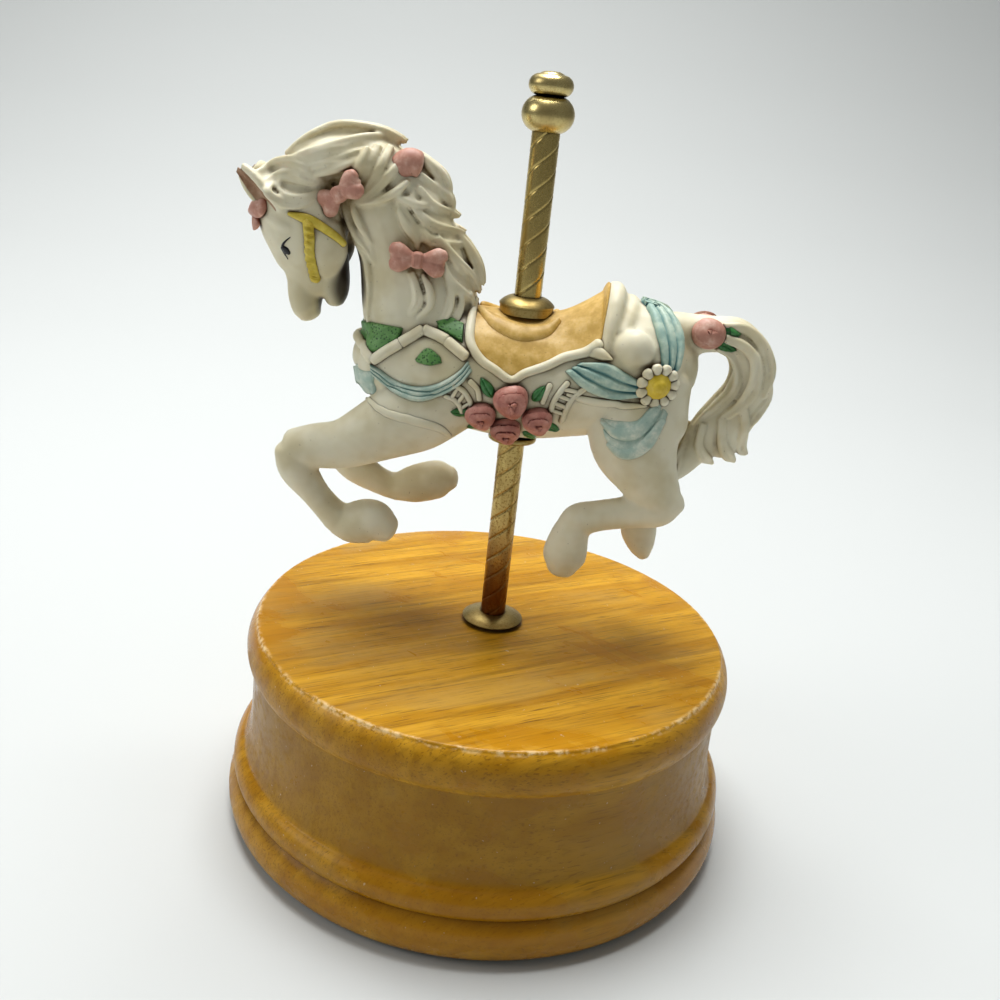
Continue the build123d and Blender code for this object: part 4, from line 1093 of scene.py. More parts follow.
    tail_locks: tuple[Lock, ...] = (
        Lock(((39.5, 117.6), (44, 117.6), (47.6, 115), (50, 110), (49.8, 104.5)), 1.5, 2, 0.3),
        Lock(((40, 115.6), (44, 114.4), (46.8, 111.6), (47.4, 107), (45.5, 102.6), (41.5, 98.6)),
             1.4, 2, 0.6),
        Lock(((39, 113.4), (42, 112), (44, 108.8), (44, 105), (41.6, 101.4), (38.6, 98), (36.4, 94.4)),
             1.2, 2, 0.6),
        Lock(((50.2, 108), (51, 104), (49.2, 100.5), (47.6, 97.5)), 1.1, 2, 0.4),
        Lock(((38.8, 97.4), (38.4, 93.4), (40.3, 90.4), (42.6, 88.6)), 1.2, 2, 0.5),
        Lock(((42.2, 99), (43, 94.6), (45, 91.4), (47, 89.6)), 1.3, 2, 0.5),
        Lock(((46, 102), (47.2, 97.6), (47.6, 93), (49.2, 91.4)), 1.3, 2, 0.5),
        Lock(((36.8, 96.4), (35, 92), (34, 88.8), (33.6, 85.6)), 1.0, 2, 0.4))

    def ear(self, side: int) -> bpy.types.Object:
        """One hollow ear, open to the front and outwards.

        Args:
            side: -1 for the near side, 1 for the far side.

        Returns:
            The ear.
        """
        return cupped_leaf("ear", self.ear_spine(side), self.ear_widths, self.ear_opening(side), 72, 1.6,
                           12, 12)

    def ear_opening(self, side: int) -> Vector:
        """Direction that the hollow of one ear faces."""
        x, y, z = self.ear_facing
        return Vector((x, y * side, z))

    def ear_spine(self, side: int, shift: float = 0.0) -> tuple[Place, ...]:
        """Line of one ear from its root to its tip.

        Args:
            side: -1 for the near side, 1 for the far side.
            shift: distance it is moved towards the ear's opening, in millimetres.

        Returns:
            Points along the line.
        """
        dx, dy, dz = self.ear_facing
        return tuple((x + dx * shift, y * side + dy * side * shift, z + dz * shift)
                     for x, y, z in self.ear_line)

    def body(self) -> bpy.types.Object:
        """Trunk and legs in one skin."""
        far_puff = tuple((x, -y, z, d, w) for x, y, z, d, w in self.flank_puff)
        shapes = [self.trunk, self.flank_puff, far_puff,
                  self.near_fore, self.near_shank, self.near_hoof,
                  self.far_fore, self.far_shank, self.far_hoof,
                  self.near_thigh, self.near_hind, self.near_hind_hoof,
                  self.far_thigh, self.far_hind, self.far_hind_hoof, self.neck[:2], self.dock[:2]]
        along = Vector((1, 0, 0))
        rolls = [limb("roll", s, 16, 6, 0.55, along) for s in (self.cantle_roll, self.croup_fold)]
        rolls.append(limb("part", self.cantle, 24, 6, upright=True))
        body = join("horse_body", [limb("part", s, 24, 6) for s in shapes] + rolls)
        cast(body, 0.42, 6)
        return body

    def head(self) -> bpy.types.Object:
        """Head, neck, ears and mane in one skin."""
        mirrored_cheek = tuple((x, -y, z, d, w) for x, y, z, d, w in self.cheek)
        mirrored_brow = tuple((x, -y, z, d, w) for x, y, z, d, w in self.brow)
        shapes = [self.neck, self.mane, self.skull, self.nose, self.chin, self.cheek, mirrored_cheek,
                  self.brow, mirrored_brow]
        base = join("horse_head", [limb("part", s, 24, 6) for s in shapes] + [self.ear(-1), self.ear(1)])
        cast(base, 0.34, 5)
        skin = Skin(base)
        strands = [tube for side in (-1, 1) for lock in (*self.crest_locks, *self.neck_locks)
                   for tube in comb_lock(lock, skin, side)]
        head = join("horse_head", [*strands, base])
        cast(head, 0.30, 1)
        return head

    def tail(self) -> bpy.types.Object:
        """Arched tail with its locks in one skin."""
        base = join("horse_tail", [limb("part", s, 20, 6) for s in (self.dock, self.tail_tuck)])
        cast(base, 0.34, 4)
        skin = Skin(base)
        strands = [tube for side in (-1, 1) for lock in self.tail_locks
                   for tube in comb_lock(lock, skin, side)]
        tail = join("horse_tail", [*strands, base])
        cast(tail, 0.26, 1)
        return tail

    def build(self) -> None:
        """Model the horse, then its painted reliefs."""
        glaze = Bisque().material()
        pieces = (self.body(), self.head(), self.tail())
        for piece in pieces:
            dress(piece, glaze)
            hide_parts("horse")
            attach(piece, "carousel")
            log.info("%s: %d faces", piece.name, len(piece.data.polygons))
        Reliefs().build_on(*(Skin(piece) for piece in pieces), glaze)


# ------------------------------------------------------------------ painted reliefs


class Glaze(Enum):
    """Paint colours of the reliefs: the coat and the darker wash in its hollows."""

    SADDLE_TAN = ("DDB458", "8C6520")
    COLLAR_GREEN = ("5C9646", "17401A")
    LEAF_GREEN = ("2A7A35", "0B3012")
    RIBBON_BLUE = ("B6CEBA", "438088")
    SWAG_BLUE = ("B8CCBC", "6F9894")
    EAR_BROWN = ("A8805E", "5E3B28")
    ROSE_PINK = ("C47F70", "6E362C")
    BOW_PINK = ("D09A86", "8A4A3A")
    BRIDLE_YELLOW = ("E8D34E", "A88A1C")
    DAISY_YELLOW = ("E6C92F", "A67F12")
    EYE_BLACK = ("0B0A0C", "000000")


@dataclass(frozen=True)
class PaintedBisque:
    """Thin matt enamel brushed on bisque, with a darker wash settled in the folds.

    The eye sees soft uneven colour, worn nearly to white on high spots, and on the collar a
    stipple of dark dots about half a millimetre across.
    """

    glaze: Glaze
    stipple: float = 0.0
    worn: float = 0.35
    rough: float = 0.5

    def material(self) -> bpy.types.Material:
        """Build the material."""
        coat, dark = self.glaze.value
        s = Shader(f"bisque_enamel_{self.glaze.name.lower()}")
        cloud = s.noise(s.object_point(0, (0.35, 0.35, 0.35)), 4.0, 0.6)
        fine = s.noise(s.object_point(0, (1.6, 1.6, 1.6)), 3.0, 0.6)
        color = s.mix(s.ramp(cloud, 0.3, 0.72, 0.0, 0.45), linear(coat), linear(dark))
        lift = s.mix(s.ramp(cloud, 0.6, 0.3, 0.0, self.worn), color, linear("F1ECDC"))
        color = s.mix(s.ramp(fine, 0.35, 0.65, 0.0, 0.6), lift, color)
        # Painted shade: the darker wash fills the folds and hollows by how enclosed they are.
        color = s.mix(s.ramp(s.crevice(1.3), 0.82, 0.35, 0.0, 0.9), color, linear(dark))
        height = fine
        if self.stipple > 0:
            cells = s.add("ShaderNodeTexVoronoi", {"Vector": s.object_point(0, (1.7, 1.7, 1.7)), "Scale": 1.0,
                                                   "Randomness": 1.0})
            dots = s.ramp(cells.outputs["Distance"], 0.42, 0.20)
            color = s.mix(s.math("MULTIPLY", dots, self.stipple), color, linear(dark))
            height = s.math("SUBTRACT", 1.0, dots)
        specks = s.ramp(s.noise(s.object_point(15, (2.3, 2.3, 2.3)), 1.0, 0.5), 0.72, 0.77, 0.0, 0.5)
        color = s.mix(specks, color, linear(dark))
        normal = s.bump(height, 0.12 if self.stipple > 0 else 0.03, 0.6)
        return s.surface(Base_Color=color, Roughness=self.rough, Normal=normal, IOR=1.5)


def mirrored(points: Sequence[Place]) -> tuple[Place, ...]:
    """The same places on the other side of the horse."""
    return tuple((x, -y, z) for x, y, z in points)


def welt(points: Sequence[Place], skin: Skin, half_width: float | Sequence[float], height: float,
         steps: int = 6, rope: float = 0.0, sink: float = 0.15,
         closed_taper: float = 0.75) -> bpy.types.Object:
    """Lay a rounded raised line on the surface.

    Args:
        points: places near the surface in millimetres.
        skin: surface below it.
        half_width: half width, or one for each point.
        height: height above the surface.
        steps: samples between points.
        rope: pitch of slanting rope ridges, or 0 for a plain line.
        sink: how far its middle lies above the surface, as a share of the height.
        closed_taper: size of the end sections.

    Returns:
        The line.
    """
    widths = [half_width] * len(points) if isinstance(half_width, (int, float)) else list(half_width)
    samples = flow([(*p, w) for p, w in zip(points, widths)], steps)
    last = len(samples) - 1
    hits = [skin.nearest(Vector(p[:3])) for p in samples]
    centres, normals = [h[0] for h in hits], [h[1] for h in hits]
    for _ in range(3):
        normals = [(normals[max(k - 1, 0)] + normals[k] * 2 + normals[min(k + 1, last)]).normalized()
                   for k in range(last + 1)]
    sides, rings, travel = 14, [], 0.0
    for k in range(last + 1):
        ahead = (centres[min(k + 1, last)] - centres[max(k - 1, 0)]).normalized()
        across = ahead.cross(normals[k]).normalized()
        travel += (centres[k] - centres[max(k - 1, 0)]).length
        ends = [(0.0, 1.0)]
        if k in (0, last):
            reach = closed_taper * widths[0 if k == 0 else -1]
            ends += [(reach * math.sin(a), math.cos(a)) for a in (0.5, 1.0, 1.35)]
            if k == 0:
                ends = [(-shift, scale) for shift, scale in reversed(ends)]
        for shift, scale in ends:
            ring = []
            for n in range(sides):
                a = math.tau * n / sides
                swell = 1.0
                if rope > 0:
                    swell = 1 + 0.42 * math.sin(math.tau * travel / rope + 1.6 * math.cos(a))
                ring.append(centres[k] + ahead * shift + across * (samples[k][3] * scale * math.cos(a))
                            + normals[k] * (height * (sink + scale * swell * math.sin(a))))
            rings.append(ring)
    return rings_object("welt", rings)


def closed_sheet(name: str, top: Sequence[Vector], bottom: Sequence[Vector], rows: int, columns: int,
                 angle: float) -> bpy.types.Object:
    """Close two grids of points into one solid relief.

    Args:
        name: the piece's name.
        top: points of the upper side, row by row.
        bottom: points of the lower side, in the same order.
        rows: steps from the first row to the last.
        columns: steps along a row.
        angle: shade smooth up to this angle in degrees.

    Returns:
        The relief.
    """
    row, count = columns + 1, len(top)
    grid = [(k * row + c, k * row + c + 1, (k + 1) * row + c + 1, (k + 1) * row + c)
            for k in range(rows) for c in range(columns)]
    faces = [list(q) for q in grid] + [[i + count for i in reversed(q)] for q in grid]
    loop = [*range(columns)] + [k * row + columns for k in range(rows)]
    loop += [rows * row + c for c in range(columns, 0, -1)] + [k * row for k in range(rows, 0, -1)]
    faces += [[loop[i], loop[i - 1], loop[i - 1] + count, loop[i] + count] for i in range(len(loop))]
    obj = mesh_object(name, [*top, *bottom], faces)
    smooth(obj, angle)
    return obj


def pad(edge_a: Sequence[Place], edge_b: Sequence[Place], skin: Skin, height: float, folds: int = 0,
        fold_depth: float = 0.0, rim: float = 0.18, wrap: bool = False, length: int = 40,
        width: int = 20) -> bpy.types.Object:
    """Raise the area between two edges, with folds along it.

    Args:
        edge_a: places along one edge.
        edge_b: places along the other edge.
        skin: surface below it.
        height: height above the surface.
        folds: number of folds side by side.
        fold_depth: depth of the valleys between them.
        rim: share of the width over which the edge rounds off.
        wrap: whether the area goes over the back, from one flank to the other.
        length: steps along the edges.
        width: steps across.

    Returns:
        The closed relief.
    """

    def along(edge: Sequence[Place]) -> list[Vector]:
        """Even samples along an edge."""
        fine = flow(edge, 12)
        return [fine[round(k * (len(fine) - 1) / length)] for k in range(length + 1)]

    line_a, line_b = along(edge_a), along(edge_b)
    top, bottom = [], []
    for k in range(length + 1):
        t = k / length
        for c in range(width + 1):
            u = c / width
            if wrap:
                a = math.degrees(math.atan2(-line_a[k].y, line_a[k].z - skin.middle))
                b = math.degrees(math.atan2(-line_b[k].y, line_b[k].z - skin.middle))
                point, normal = skin.from_round(line_a[k].x * (1 - u) + line_b[k].x * u, a + (b - a) * u)
            else:
                point, normal = skin.nearest(line_a[k].lerp(line_b[k], u))
            edge = min(min(u, 1 - u) / rim, min(t, 1 - t) / (rim * 0.5), 1.0)
            rise = height * math.sqrt(max(0.0, 1 - (1 - edge) ** 2))
            if folds:
                valley = (0.5 + 0.5 * math.cos(math.tau * folds * u)) ** 3
                rise -= fold_depth * valley * min(1.0, 3 * min(u, 1 - u))
            top.append(point + normal * rise)
            bottom.append(point - normal * 0.9)
    return closed_sheet("pad", top, bottom, length, width, 50)


def rose(centre: Place, skin: Skin, radius: float, wraps: float = 2.6, petals: int = 3,
         lift: float = 0.25) -> bpy.types.Object:
    """Round rose of petals wrapped over each other.

    Args:
        centre: place near the surface.
        skin: surface below it.
        radius: size in millimetres.
        wraps: turns of petals from the heart to the rim.
        petals: petals in a turn.
        lift: height of its middle above the surface, as a share of the radius.

    Returns:
        The rose.
    """
    point, normal = skin.nearest(Vector(centre))
    frame_x = normal.cross(Vector((0, 0, 1))).normalized()
    frame_y = normal.cross(frame_x)
    rings = []
    rows, sides = 36, 54
    for r in range(1, rows + 1):
        polar = math.radians(128) * r / rows
        ring = []
        for n in range(sides):
            a = math.tau * n / sides
            phase = (polar / math.radians(100) * wraps + a / math.tau + 0.12 * math.sin(petals * a)) % 1.0
            size = radius * (0.76 + 0.24 * phase**0.45) * (1 + 0.06 * math.sin(petals * a + 2))
            ring.append(point + normal * (radius * lift + size * math.cos(polar) * 0.85)
                        + (frame_x * math.cos(a) + frame_y * math.sin(a)) * (size * math.sin(polar)))
        rings.append(ring)
    flower = rings_object("rose", rings)
    smooth(flower, 40)
    return flower


def leaf(root: Place, tip: Place, skin: Skin, half_width: float, height: float = 0.7) -> bpy.types.Object:
    """Pointed leaf with a sunk midrib and side veins.

    Args:
        root: place of the stalk end.
        tip: place of the point.
        skin: surface below it.
        half_width: half of its greatest width.
        height: height above the surface.

    Returns:
        The leaf.
    """
    start, end = Vector(root), Vector(tip)
    rows, columns = 22, 14
    top, bottom = [], []
    for k in range(rows + 1):
        t = k / rows
        reach = half_width * math.sin(math.pi * t**0.8) ** 0.8 if 0 < k < rows else 0.02
        centre, normal = skin.nearest(start.lerp(end, t))
        across = (end - start).normalized().cross(normal).normalized()
        for c in range(columns + 1):
            u = 2 * c / columns - 1
            dome = math.sqrt(max(0.0, 1 - abs(u) ** 3)) * min(1.0, 6 * t, 6 * (1 - t) + 0.1)
            vein = 0.30 * math.exp(-((u / 0.16) ** 2)) + 0.10 * (0.5 + 0.5 * math.cos(26 * t - 7 * abs(u)))
            point = centre + across * (u * reach)
            top.append(point + normal * (height * (dome - vein * dome)))
            bottom.append(point - normal * 0.8)
    return closed_sheet("leaf", top, bottom, rows, columns, 45)


def ribbon_bow(centre: Place, tilt: float, skin: Skin, size: float) -> bpy.types.Object:
    """Two-lobed bow with a wrapped knot.

    Args:
        centre: place near the surface.
        tilt: angle of the bow above level, in degrees.
        skin: surface below it.
        size: half of its length.

    Returns:
        The bow.
    """
    point, normal = skin.nearest(Vector(centre))
    normal = Vector((normal.x * 0.3, normal.y, normal.z * 0.3)).normalized()
    level = Vector((1, 0, 0)) - normal * normal.x
    rise = normal.cross(level.normalized())
    rise = rise if rise.z > 0 else -rise
    out = level.normalized() * math.cos(math.radians(tilt)) + rise * math.sin(math.radians(tilt))
    beside = normal.cross(out)
    lift = point + normal * (0.30 * size)
    lobe = ((0.08, 0.12, 0.16), (0.45, 0.26, 0.24), (0.80, 0.33, 0.25), (1.0, 0.22, 0.18))
    parts = []
    for way in (-1, 1):
        for fold, reach, spread in ((1, 1.0, 0.27), (-1, 0.94, -0.27), (0, 0.97, 0.0)):
            flat = 0.6 if fold == 0 else 1.0
            stations = []
            for t, depth, width in lobe:
                place = lift + out * (way * t * reach * size) + beside * (spread * t * size * 1.15)
                place = place + normal * ((-0.05 if fold == 0 else 0.06) * size * math.sin(math.pi * t))
                stations.append((*place, depth * size * flat, width * size))
            parts.append(limb("lobe", stations, 16, 4, 0.6, normal))
    ends = [(*(lift + beside * (h * size) + normal * (0.10 * size)), 0.21 * size, 0.25 * size)
            for h in (-0.24, 0.24)]
    parts.append(limb("knot", ends, 18, 3, 0.4, normal))
    for h in (-0.11, 0.11):
        wrap = [(*(lift + out * (h * size) + beside * (v * size) + normal * (0.22 * size)),
                 0.075 * size, 0.14 * size) for v in (-0.22, 0.0, 0.22)]
        parts.append(limb("wrap", wrap, 10, 2, 0.5, normal))
    whole = join("bow", parts)
    cast(whole, 0.17, 2)
    return whole


@dataclass
class Reliefs:
    """Painted saddle, collar, flowers, ribbons and bridle, modelled on the horse's skin."""

    saddle_edge: tuple[Place, ...] = (
        (-10.4, -0.5, 117.2), (-10.6, -6, 114), (-10.2, -10, 110.6), (-7.8, -11.6, 107.8), (-4.5, -12, 106),
        (-1.4, -12.5, 104.6), (1, -12, 106), (5, -11.5, 107.8), (8.5, -10.5, 109.6), (12.5, -10, 110.8),
        (14.9, -10, 112.8), (15.4, -8.6, 116.6), (15.9, -5, 121), (16.2, -0.4, 123.6))
    border_widths: tuple[float, ...] = (0.8, 0.95, 1.0, 0.95, 0.9, 0.9, 0.9, 0.95, 1.0, 1.1, 1.3)
    border_tip: tuple[Place, ...] = ((13.6, -10.2, 111.6), (15.6, -10.8, 111.2), (17.6, -11, 110.4))
    seat_roll: tuple[Place, ...] = (
        (-9, -3, 115.6), (-5.4, -6.2, 114.2), (-1, -7.6, 113.2), (3.4, -7, 113.6), (6.6, -4.6, 115.2))
    band_joints: tuple[tuple[Place, ...], ...] = (
        ((-33.6, -0.6, 107.4), (-32.6, -4.4, 107.2), (-30.9, -7.8, 106), (-29.2, -9.4, 104.8)),
        ((-28.8, -9.5, 104.8), (-26.4, -10, 106.9), (-24.0, -10, 108.7)),
        ((-23.6, -10, 109), (-21.6, -9.6, 110.5), (-19.8, -9.2, 111.8)),
        ((-19.4, -9.1, 111.9), (-17, -9.2, 111), (-14.9, -10, 110.4)),
        ((-14.6, -10.2, 110.2), (-12.6, -11, 109.1), (-10.7, -11.4, 107.9)))
    front_green: tuple[tuple[Place, ...], tuple[Place, ...]] = (
        ((-32.4, -0.4, 110.8), (-31.2, -4.4, 111.3), (-27.8, -7.2, 111.6), (-23.6, -8.6, 111.6)),
        ((-33.4, -0.4, 108.2), (-31.2, -7, 107.4), (-28.8, -9.4, 106.2), (-24.2, -10, 109.8)))
    back_green: tuple[tuple[Place, ...], tuple[Place, ...]] = (
        ((-17.4, -8.2, 113.6), (-14.4, -7.4, 114.6), (-11.8, -7.4, 113.8)),
        ((-16.8, -8.8, 112.3), (-14.2, -9.8, 111.5), (-11.6, -10.2, 110.2)))
    small_green: tuple[tuple[Place, ...], tuple[Place, ...]] = (
        ((-20.6, -11.4, 106.2), (-18.4, -10.6, 108.6), (-15.6, -11.2, 107.2)),
        ((-20.2, -11.5, 105.8), (-17.6, -11.5, 105.4), (-15.2, -11.5, 106.2)))
    swag_top: tuple[Place, ...] = (
        (-29.8, -9.2, 103.8), (-27.4, -10, 103.2), (-25, -10.6, 101.9), (-22.4, -11, 101),
        (-19.4, -11.5, 100.9), (-16.4, -11.6, 101.8), (-13.8, -12, 103.4), (-11.6, -12, 105.3),
        (-10.2, -12, 107.4))
    swag_bottom: tuple[Place, ...] = (
        (-29.6, -9.4, 102.2), (-27.4, -10, 100.9), (-25, -10.6, 99.2), (-22.4, -11, 98.1),
        (-19.4, -11.4, 97.8), (-16.4, -11.6, 98.8), (-13.4, -12, 100.6), (-10.8, -12, 102.9),
        (-9.2, -12, 105.4))
    front_swag: tuple[tuple[Place, ...], tuple[Place, ...]] = (
        ((-28.8, -9.6, 102.6), (-30.6, -6.4, 102), (-31.6, 0, 102), (-30.6, 6.4, 102), (-28.8, 9.6, 102.6)),
        ((-28.6, -9, 97.6), (-29.6, -6, 96.8), (-30.4, 0, 96.6), (-29.6, 6, 96.8), (-28.6, 9, 97.6)))
    side_ribbon: tuple[tuple[Place, ...], tuple[Place, ...]] = (
        ((11.6, -11.2, 109.2), (17, -11, 109.6), (20.4, -11.6, 108.4), (24, -12, 106.8)),
        ((8.8, -12, 107.4), (13, -12.5, 104.2), (18.6, -12, 102.8), (25, -11.5, 104)))
    rump_ribbon: tuple[tuple[Place, ...], tuple[Place, ...]] = (
        ((22, -0.4, 119.8), (23.2, -2.6, 118.4), (25, -6.8, 115.6), (26.4, -9, 112.4), (27.4, -10.6, 109)),
        ((26.4, -0.4, 119.4), (28.4, -2, 118), (30.2, -4.4, 115.6), (30.8, -6.8, 112.8), (30.4, -9.2, 109)))
    tail_ribbon: tuple[tuple[Place, ...], tuple[Place, ...]] = (
        ((17, -10.5, 98.4), (20.5, -12, 98.6), (24, -12.4, 99.2), (26, -12, 101.6), (27.5, -11.4, 103.4)),
        ((18.4, -11, 95), (20.6, -12, 92), (24, -12.6, 91.2), (28, -12.2, 94.4), (30, -11, 101)))
    tail_folds: tuple[tuple[tuple[Place, ...], tuple[float, ...]], ...] = (
        (((17.6, -10.8, 97.8), (20.6, -12, 96.2), (24.4, -12.6, 97.2), (27.4, -12, 101.8)),
         (0.5, 1.3, 1.5, 0.9)),
        (((19.4, -11.4, 93.6), (22.4, -12.2, 92.2), (26, -12.6, 94.2), (29, -11.6, 99.6)),
         (0.5, 1.2, 1.4, 0.8)))
    daisy_centre: Place = (27.0, -11.2, 106.4)
    daisy_petals: int = 11
    roses: tuple[tuple[Place, float], ...] = (
        ((-0.9, -12.5, 100.6), 3.5), ((-6.6, -11, 96.7), 3.1), ((4.6, -11.6, 96.9), 3.1),
        ((-1.4, -9.6, 93.8), 3.2))
    leaves: tuple[tuple[Place, Place, float], ...] = (
        ((-4.6, -12.6, 100.6), (-7.4, -12.4, 104.4), 1.2), ((3.2, -12.6, 100.8), (5.4, -12.4, 104.2), 1.1),
        ((-8.2, -11, 96.2), (-12.8, -11, 96.4), 1.2), ((-5.6, -8.6, 93.4), (-9.6, -7.6, 92.8), 1.1),
        ((2.2, -8.8, 93.6), (4.8, -6.4, 91.4), 1.1), ((5.6, -10.8, 96), (9.4, -9.4, 94.2), 1.2),
        ((-2.6, -7.2, 91.4), (-4.8, -5.4, 90.4), 0.9))
    fringe: tuple[tuple[Place, ...], ...] = (
        ((-12.6, -12, 102.4), (-10.6, -12, 101.4), (-9.2, -12, 99.6), (-8.6, -11.6, 97.8)),
        ((-14, -11.5, 99.8), (-12.2, -11.5, 99.2), (-11, -11, 98), (-10.6, -10.6, 96.6)),
        ((-9.4, -12.5, 103.4), (-7.8, -12.5, 102), (-7.2, -12, 100)),
        ((6.2, -12.5, 104.4), (5.6, -12.5, 102.6), (5.2, -12.4, 100.8)),
        ((9.6, -12.5, 105.2), (8.4, -12.5, 103.4), (7.4, -12.5, 101.4), (7, -12, 99.4)),
        ((13.4, -12.5, 104.8), (11.2, -12.5, 102.6), (10, -12, 100), (9.4, -11, 96.8)))
    rungs: tuple[tuple[Place, Place], ...] = (
        ((-12.8, -12, 99.4), (-11.8, -12, 101.6)), ((-11.4, -12, 98.6), (-10.2, -12, 100.8)),
        ((-10.8, -11.5, 97.2), (-9.0, -12, 98.8)), ((8.6, -12.5, 104), (11.8, -12.5, 103.6)),
        ((8, -12.5, 102.6), (10.8, -12.5, 101.8)), ((7.4, -12.5, 101), (10.2, -12, 100.2)),
        ((7.2, -12, 99.4), (9.8, -12, 98.6)))
    hem: tuple[Place, ...] = (
        (9.8, -12.5, 103), (13, -12.6, 102.2), (17, -12.3, 101.8), (21, -12, 101.8), (25.4, -11.6, 102.2))
    shoulder_crease: tuple[Place, ...] = (
        (-29.0, -8.0, 95.2), (-25, -10.6, 94.6), (-20, -11.6, 94.2), (-14.6, -11.6, 92.8),
        (-11.4, -10.6, 89.8))
    cheek_strap: tuple[Place, ...] = (
        (-43.6, -6.6, 129.6), (-43.1, -6.6, 126), (-42.6, -6.2, 122), (-42.1, -4.8, 118.6))
    brow_strap: tuple[Place, ...] = (
        (-47.2, -6.8, 130.8), (-44, -6.8, 130.2), (-41.4, -6.4, 129.2), (-39, -6, 127.8), (-37, -5.2, 126))
    bows: tuple[tuple[Place, float, float], ...] = (
        ((-38.6, -6.4, 135.2), 38.0, 5.0), ((-21.8, -7.4, 125), -3.0, 5.1))
    forehead_loop: tuple[Station, ...] = (
        (-55.4, -0.6, 130.0, 1.1, 1.0), (-54.8, -2.2, 130.6, 1.4, 1.8), (-53.6, -4.2, 131.2, 1.4, 2.2),
        (-52.6, -5.4, 131.4, 0.8, 1.6))
    forehead_end: tuple[Station, ...] = (
        (-55.2, -1.0, 129.6, 0.7, 0.8), (-54.8, -2.4, 128.4, 0.7, 1.1), (-54.4, -3.4, 127.2, 0.5, 1.2))
    forehead_knot: tuple[Station, ...] = ((-55.4, -1.2, 130.0, 1.1, 1.3), (-55.4, 1.2, 130.0, 1.1, 1.3))
    crest_knot: tuple[Station, ...] = (
        (-26.9, -4.6, 141.2, 2.5, 2.2), (-25.2, -4.4, 142.4, 2.7, 2.4), (-23.4, -4.2, 142.2, 2.5, 2.2))
    upper_lid: tuple[Place, ...] = ((-46.9, -6.4, 126.4), (-48.2, -5.9, 125.1), (-48.8, -5.6, 123.9))
    lower_lid: tuple[Place, ...] = ((-48.8, -5.6, 123.9), (-48.2, -5.6, 122.8), (-47.6, -5.6, 121.8))
    pupil: tuple[Place, ...] = ((-48.5, -5.8, 124.1), (-47.9, -6, 123.6), (-47.4, -6.1, 123.2))

    def paint(self, parts: Sequence[bpy.types.Object], name: str, material: bpy.types.Material) -> None:
        """Join parts under one name, dress them and fix them to the horse.

        Args:
            parts: the parts.
            name: name of the joined piece.
            material: its glaze.
        """
        piece = join(name, parts) if len(parts) > 1 else parts[0]
        piece.name = name
        piece.data.name = name
        smooth(piece, 50)
        dress(piece, material)
        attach(piece, "carousel")
        log.info("%s: %d faces", name, len(piece.data.polygons))

    def both(self, make: Callable[[int], Sequence[bpy.types.Object]]) -> list[bpy.types.Object]:
        """Make parts for the near side and the far side."""
        return [part for side in (1, -1) for part in make(side)]

    def build_on(self, body: Skin, head: Skin, tail: Skin, bisque: bpy.types.Material) -> None:
        """Model every relief.

        Args:
            body: skin of the trunk.
            head: skin of the head and neck.
            tail: skin of the tail.
            bisque: the bare porcelain's material.
        """

        def turn(points: Sequence[Place], side: int) -> Sequence[Place]:
            """The points themselves, or their mirror image for the far side."""
            return points if side == 1 else mirrored(points)

        saddle = pad(self.saddle_edge, mirrored(self.saddle_edge), body, 0.35, rim=0.03, wrap=True,
                     length=72, width=64)
        roll = self.both(lambda s: [welt(turn(self.seat_roll, s), body, (0.8, 1.9, 2.3, 1.9, 0.8), 1.15, 8,
                                         sink=0.1)])
        self.paint([saddle, *roll], "saddle_seat", PaintedBisque(Glaze.SADDLE_TAN, worn=0.15).material())
        bordered = self.saddle_edge[:len(self.border_widths)]
        borders = self.both(lambda s: [welt(turn(bordered, s), body, self.border_widths, 1.0, 8),
                                       welt(turn(self.border_tip, s), body, (1.5, 1.2, 0.3), 0.9, 6)])
        self.paint(borders, "saddle_border", bisque)
        segments = self.both(lambda s: [welt(turn(joint, s), body, 1.15, 1.15, 6, closed_taper=0.45)
                                        for joint in self.band_joints])
        self.paint(segments, "breast_band", bisque)
        fringe = self.both(lambda s: [welt(turn(line, s), body, 0.62, 0.6, 6) for line in self.fringe]
                           + [welt(turn(rung, s), body, 0.5, 0.5, 4) for rung in self.rungs]
                           + [welt(turn(self.hem, s), body, (0.4, 0.8, 0.9, 0.8, 0.4), 0.45, 8),
                              welt(turn(self.shoulder_crease, s), body, (0.3, 0.8, 0.9, 0.8, 0.4), 0.4, 8)])
        self.paint(fringe, "saddle_fringe", bisque)
        greens = self.both(lambda s: [pad(turn(a, s), turn(b, s), body, h, rim=0.12, length=36, width=24)
                                      for (a, b), h in ((self.front_green, 0.7), (self.back_green, 0.7),
                                                        (self.small_green, 0.5))])
        self.paint(greens, "collar_pads",
                   PaintedBisque(Glaze.COLLAR_GREEN, stipple=0.85, worn=0.1).material())
        swags = self.both(lambda s: [pad(turn(self.swag_top, s), turn(self.swag_bottom, s), body, 0.85, 3,
                                         0.34, 0.16, length=60, width=30)])
        swags.append(pad(*self.front_swag, body, 0.4, 2, 0.2, 0.15, length=60, width=24))
        ribbons = self.both(lambda s: [pad(turn(a, s), turn(b, s), body, 1.0, 3, 0.7, 0.12,
                                           length=48, width=36)
                                       for a, b in (self.side_ribbon, self.rump_ribbon)])
        self.paint(swags, "breast_swags", PaintedBisque(Glaze.SWAG_BLUE, worn=0.4).material())
        self.paint(ribbons, "saddle_ribbons", PaintedBisque(Glaze.RIBBON_BLUE, worn=0.3).material())
        tails = self.both(lambda s: [pad(turn(self.tail_ribbon[0], s), turn(self.tail_ribbon[1], s), body,
                                         0.5, 2, 0.4, 0.25, length=40, width=30)])
        tails += self.both(lambda s: [welt(turn(fold, s), body, widths, 0.7, 8)
                                      for fold, widths in self.tail_folds])
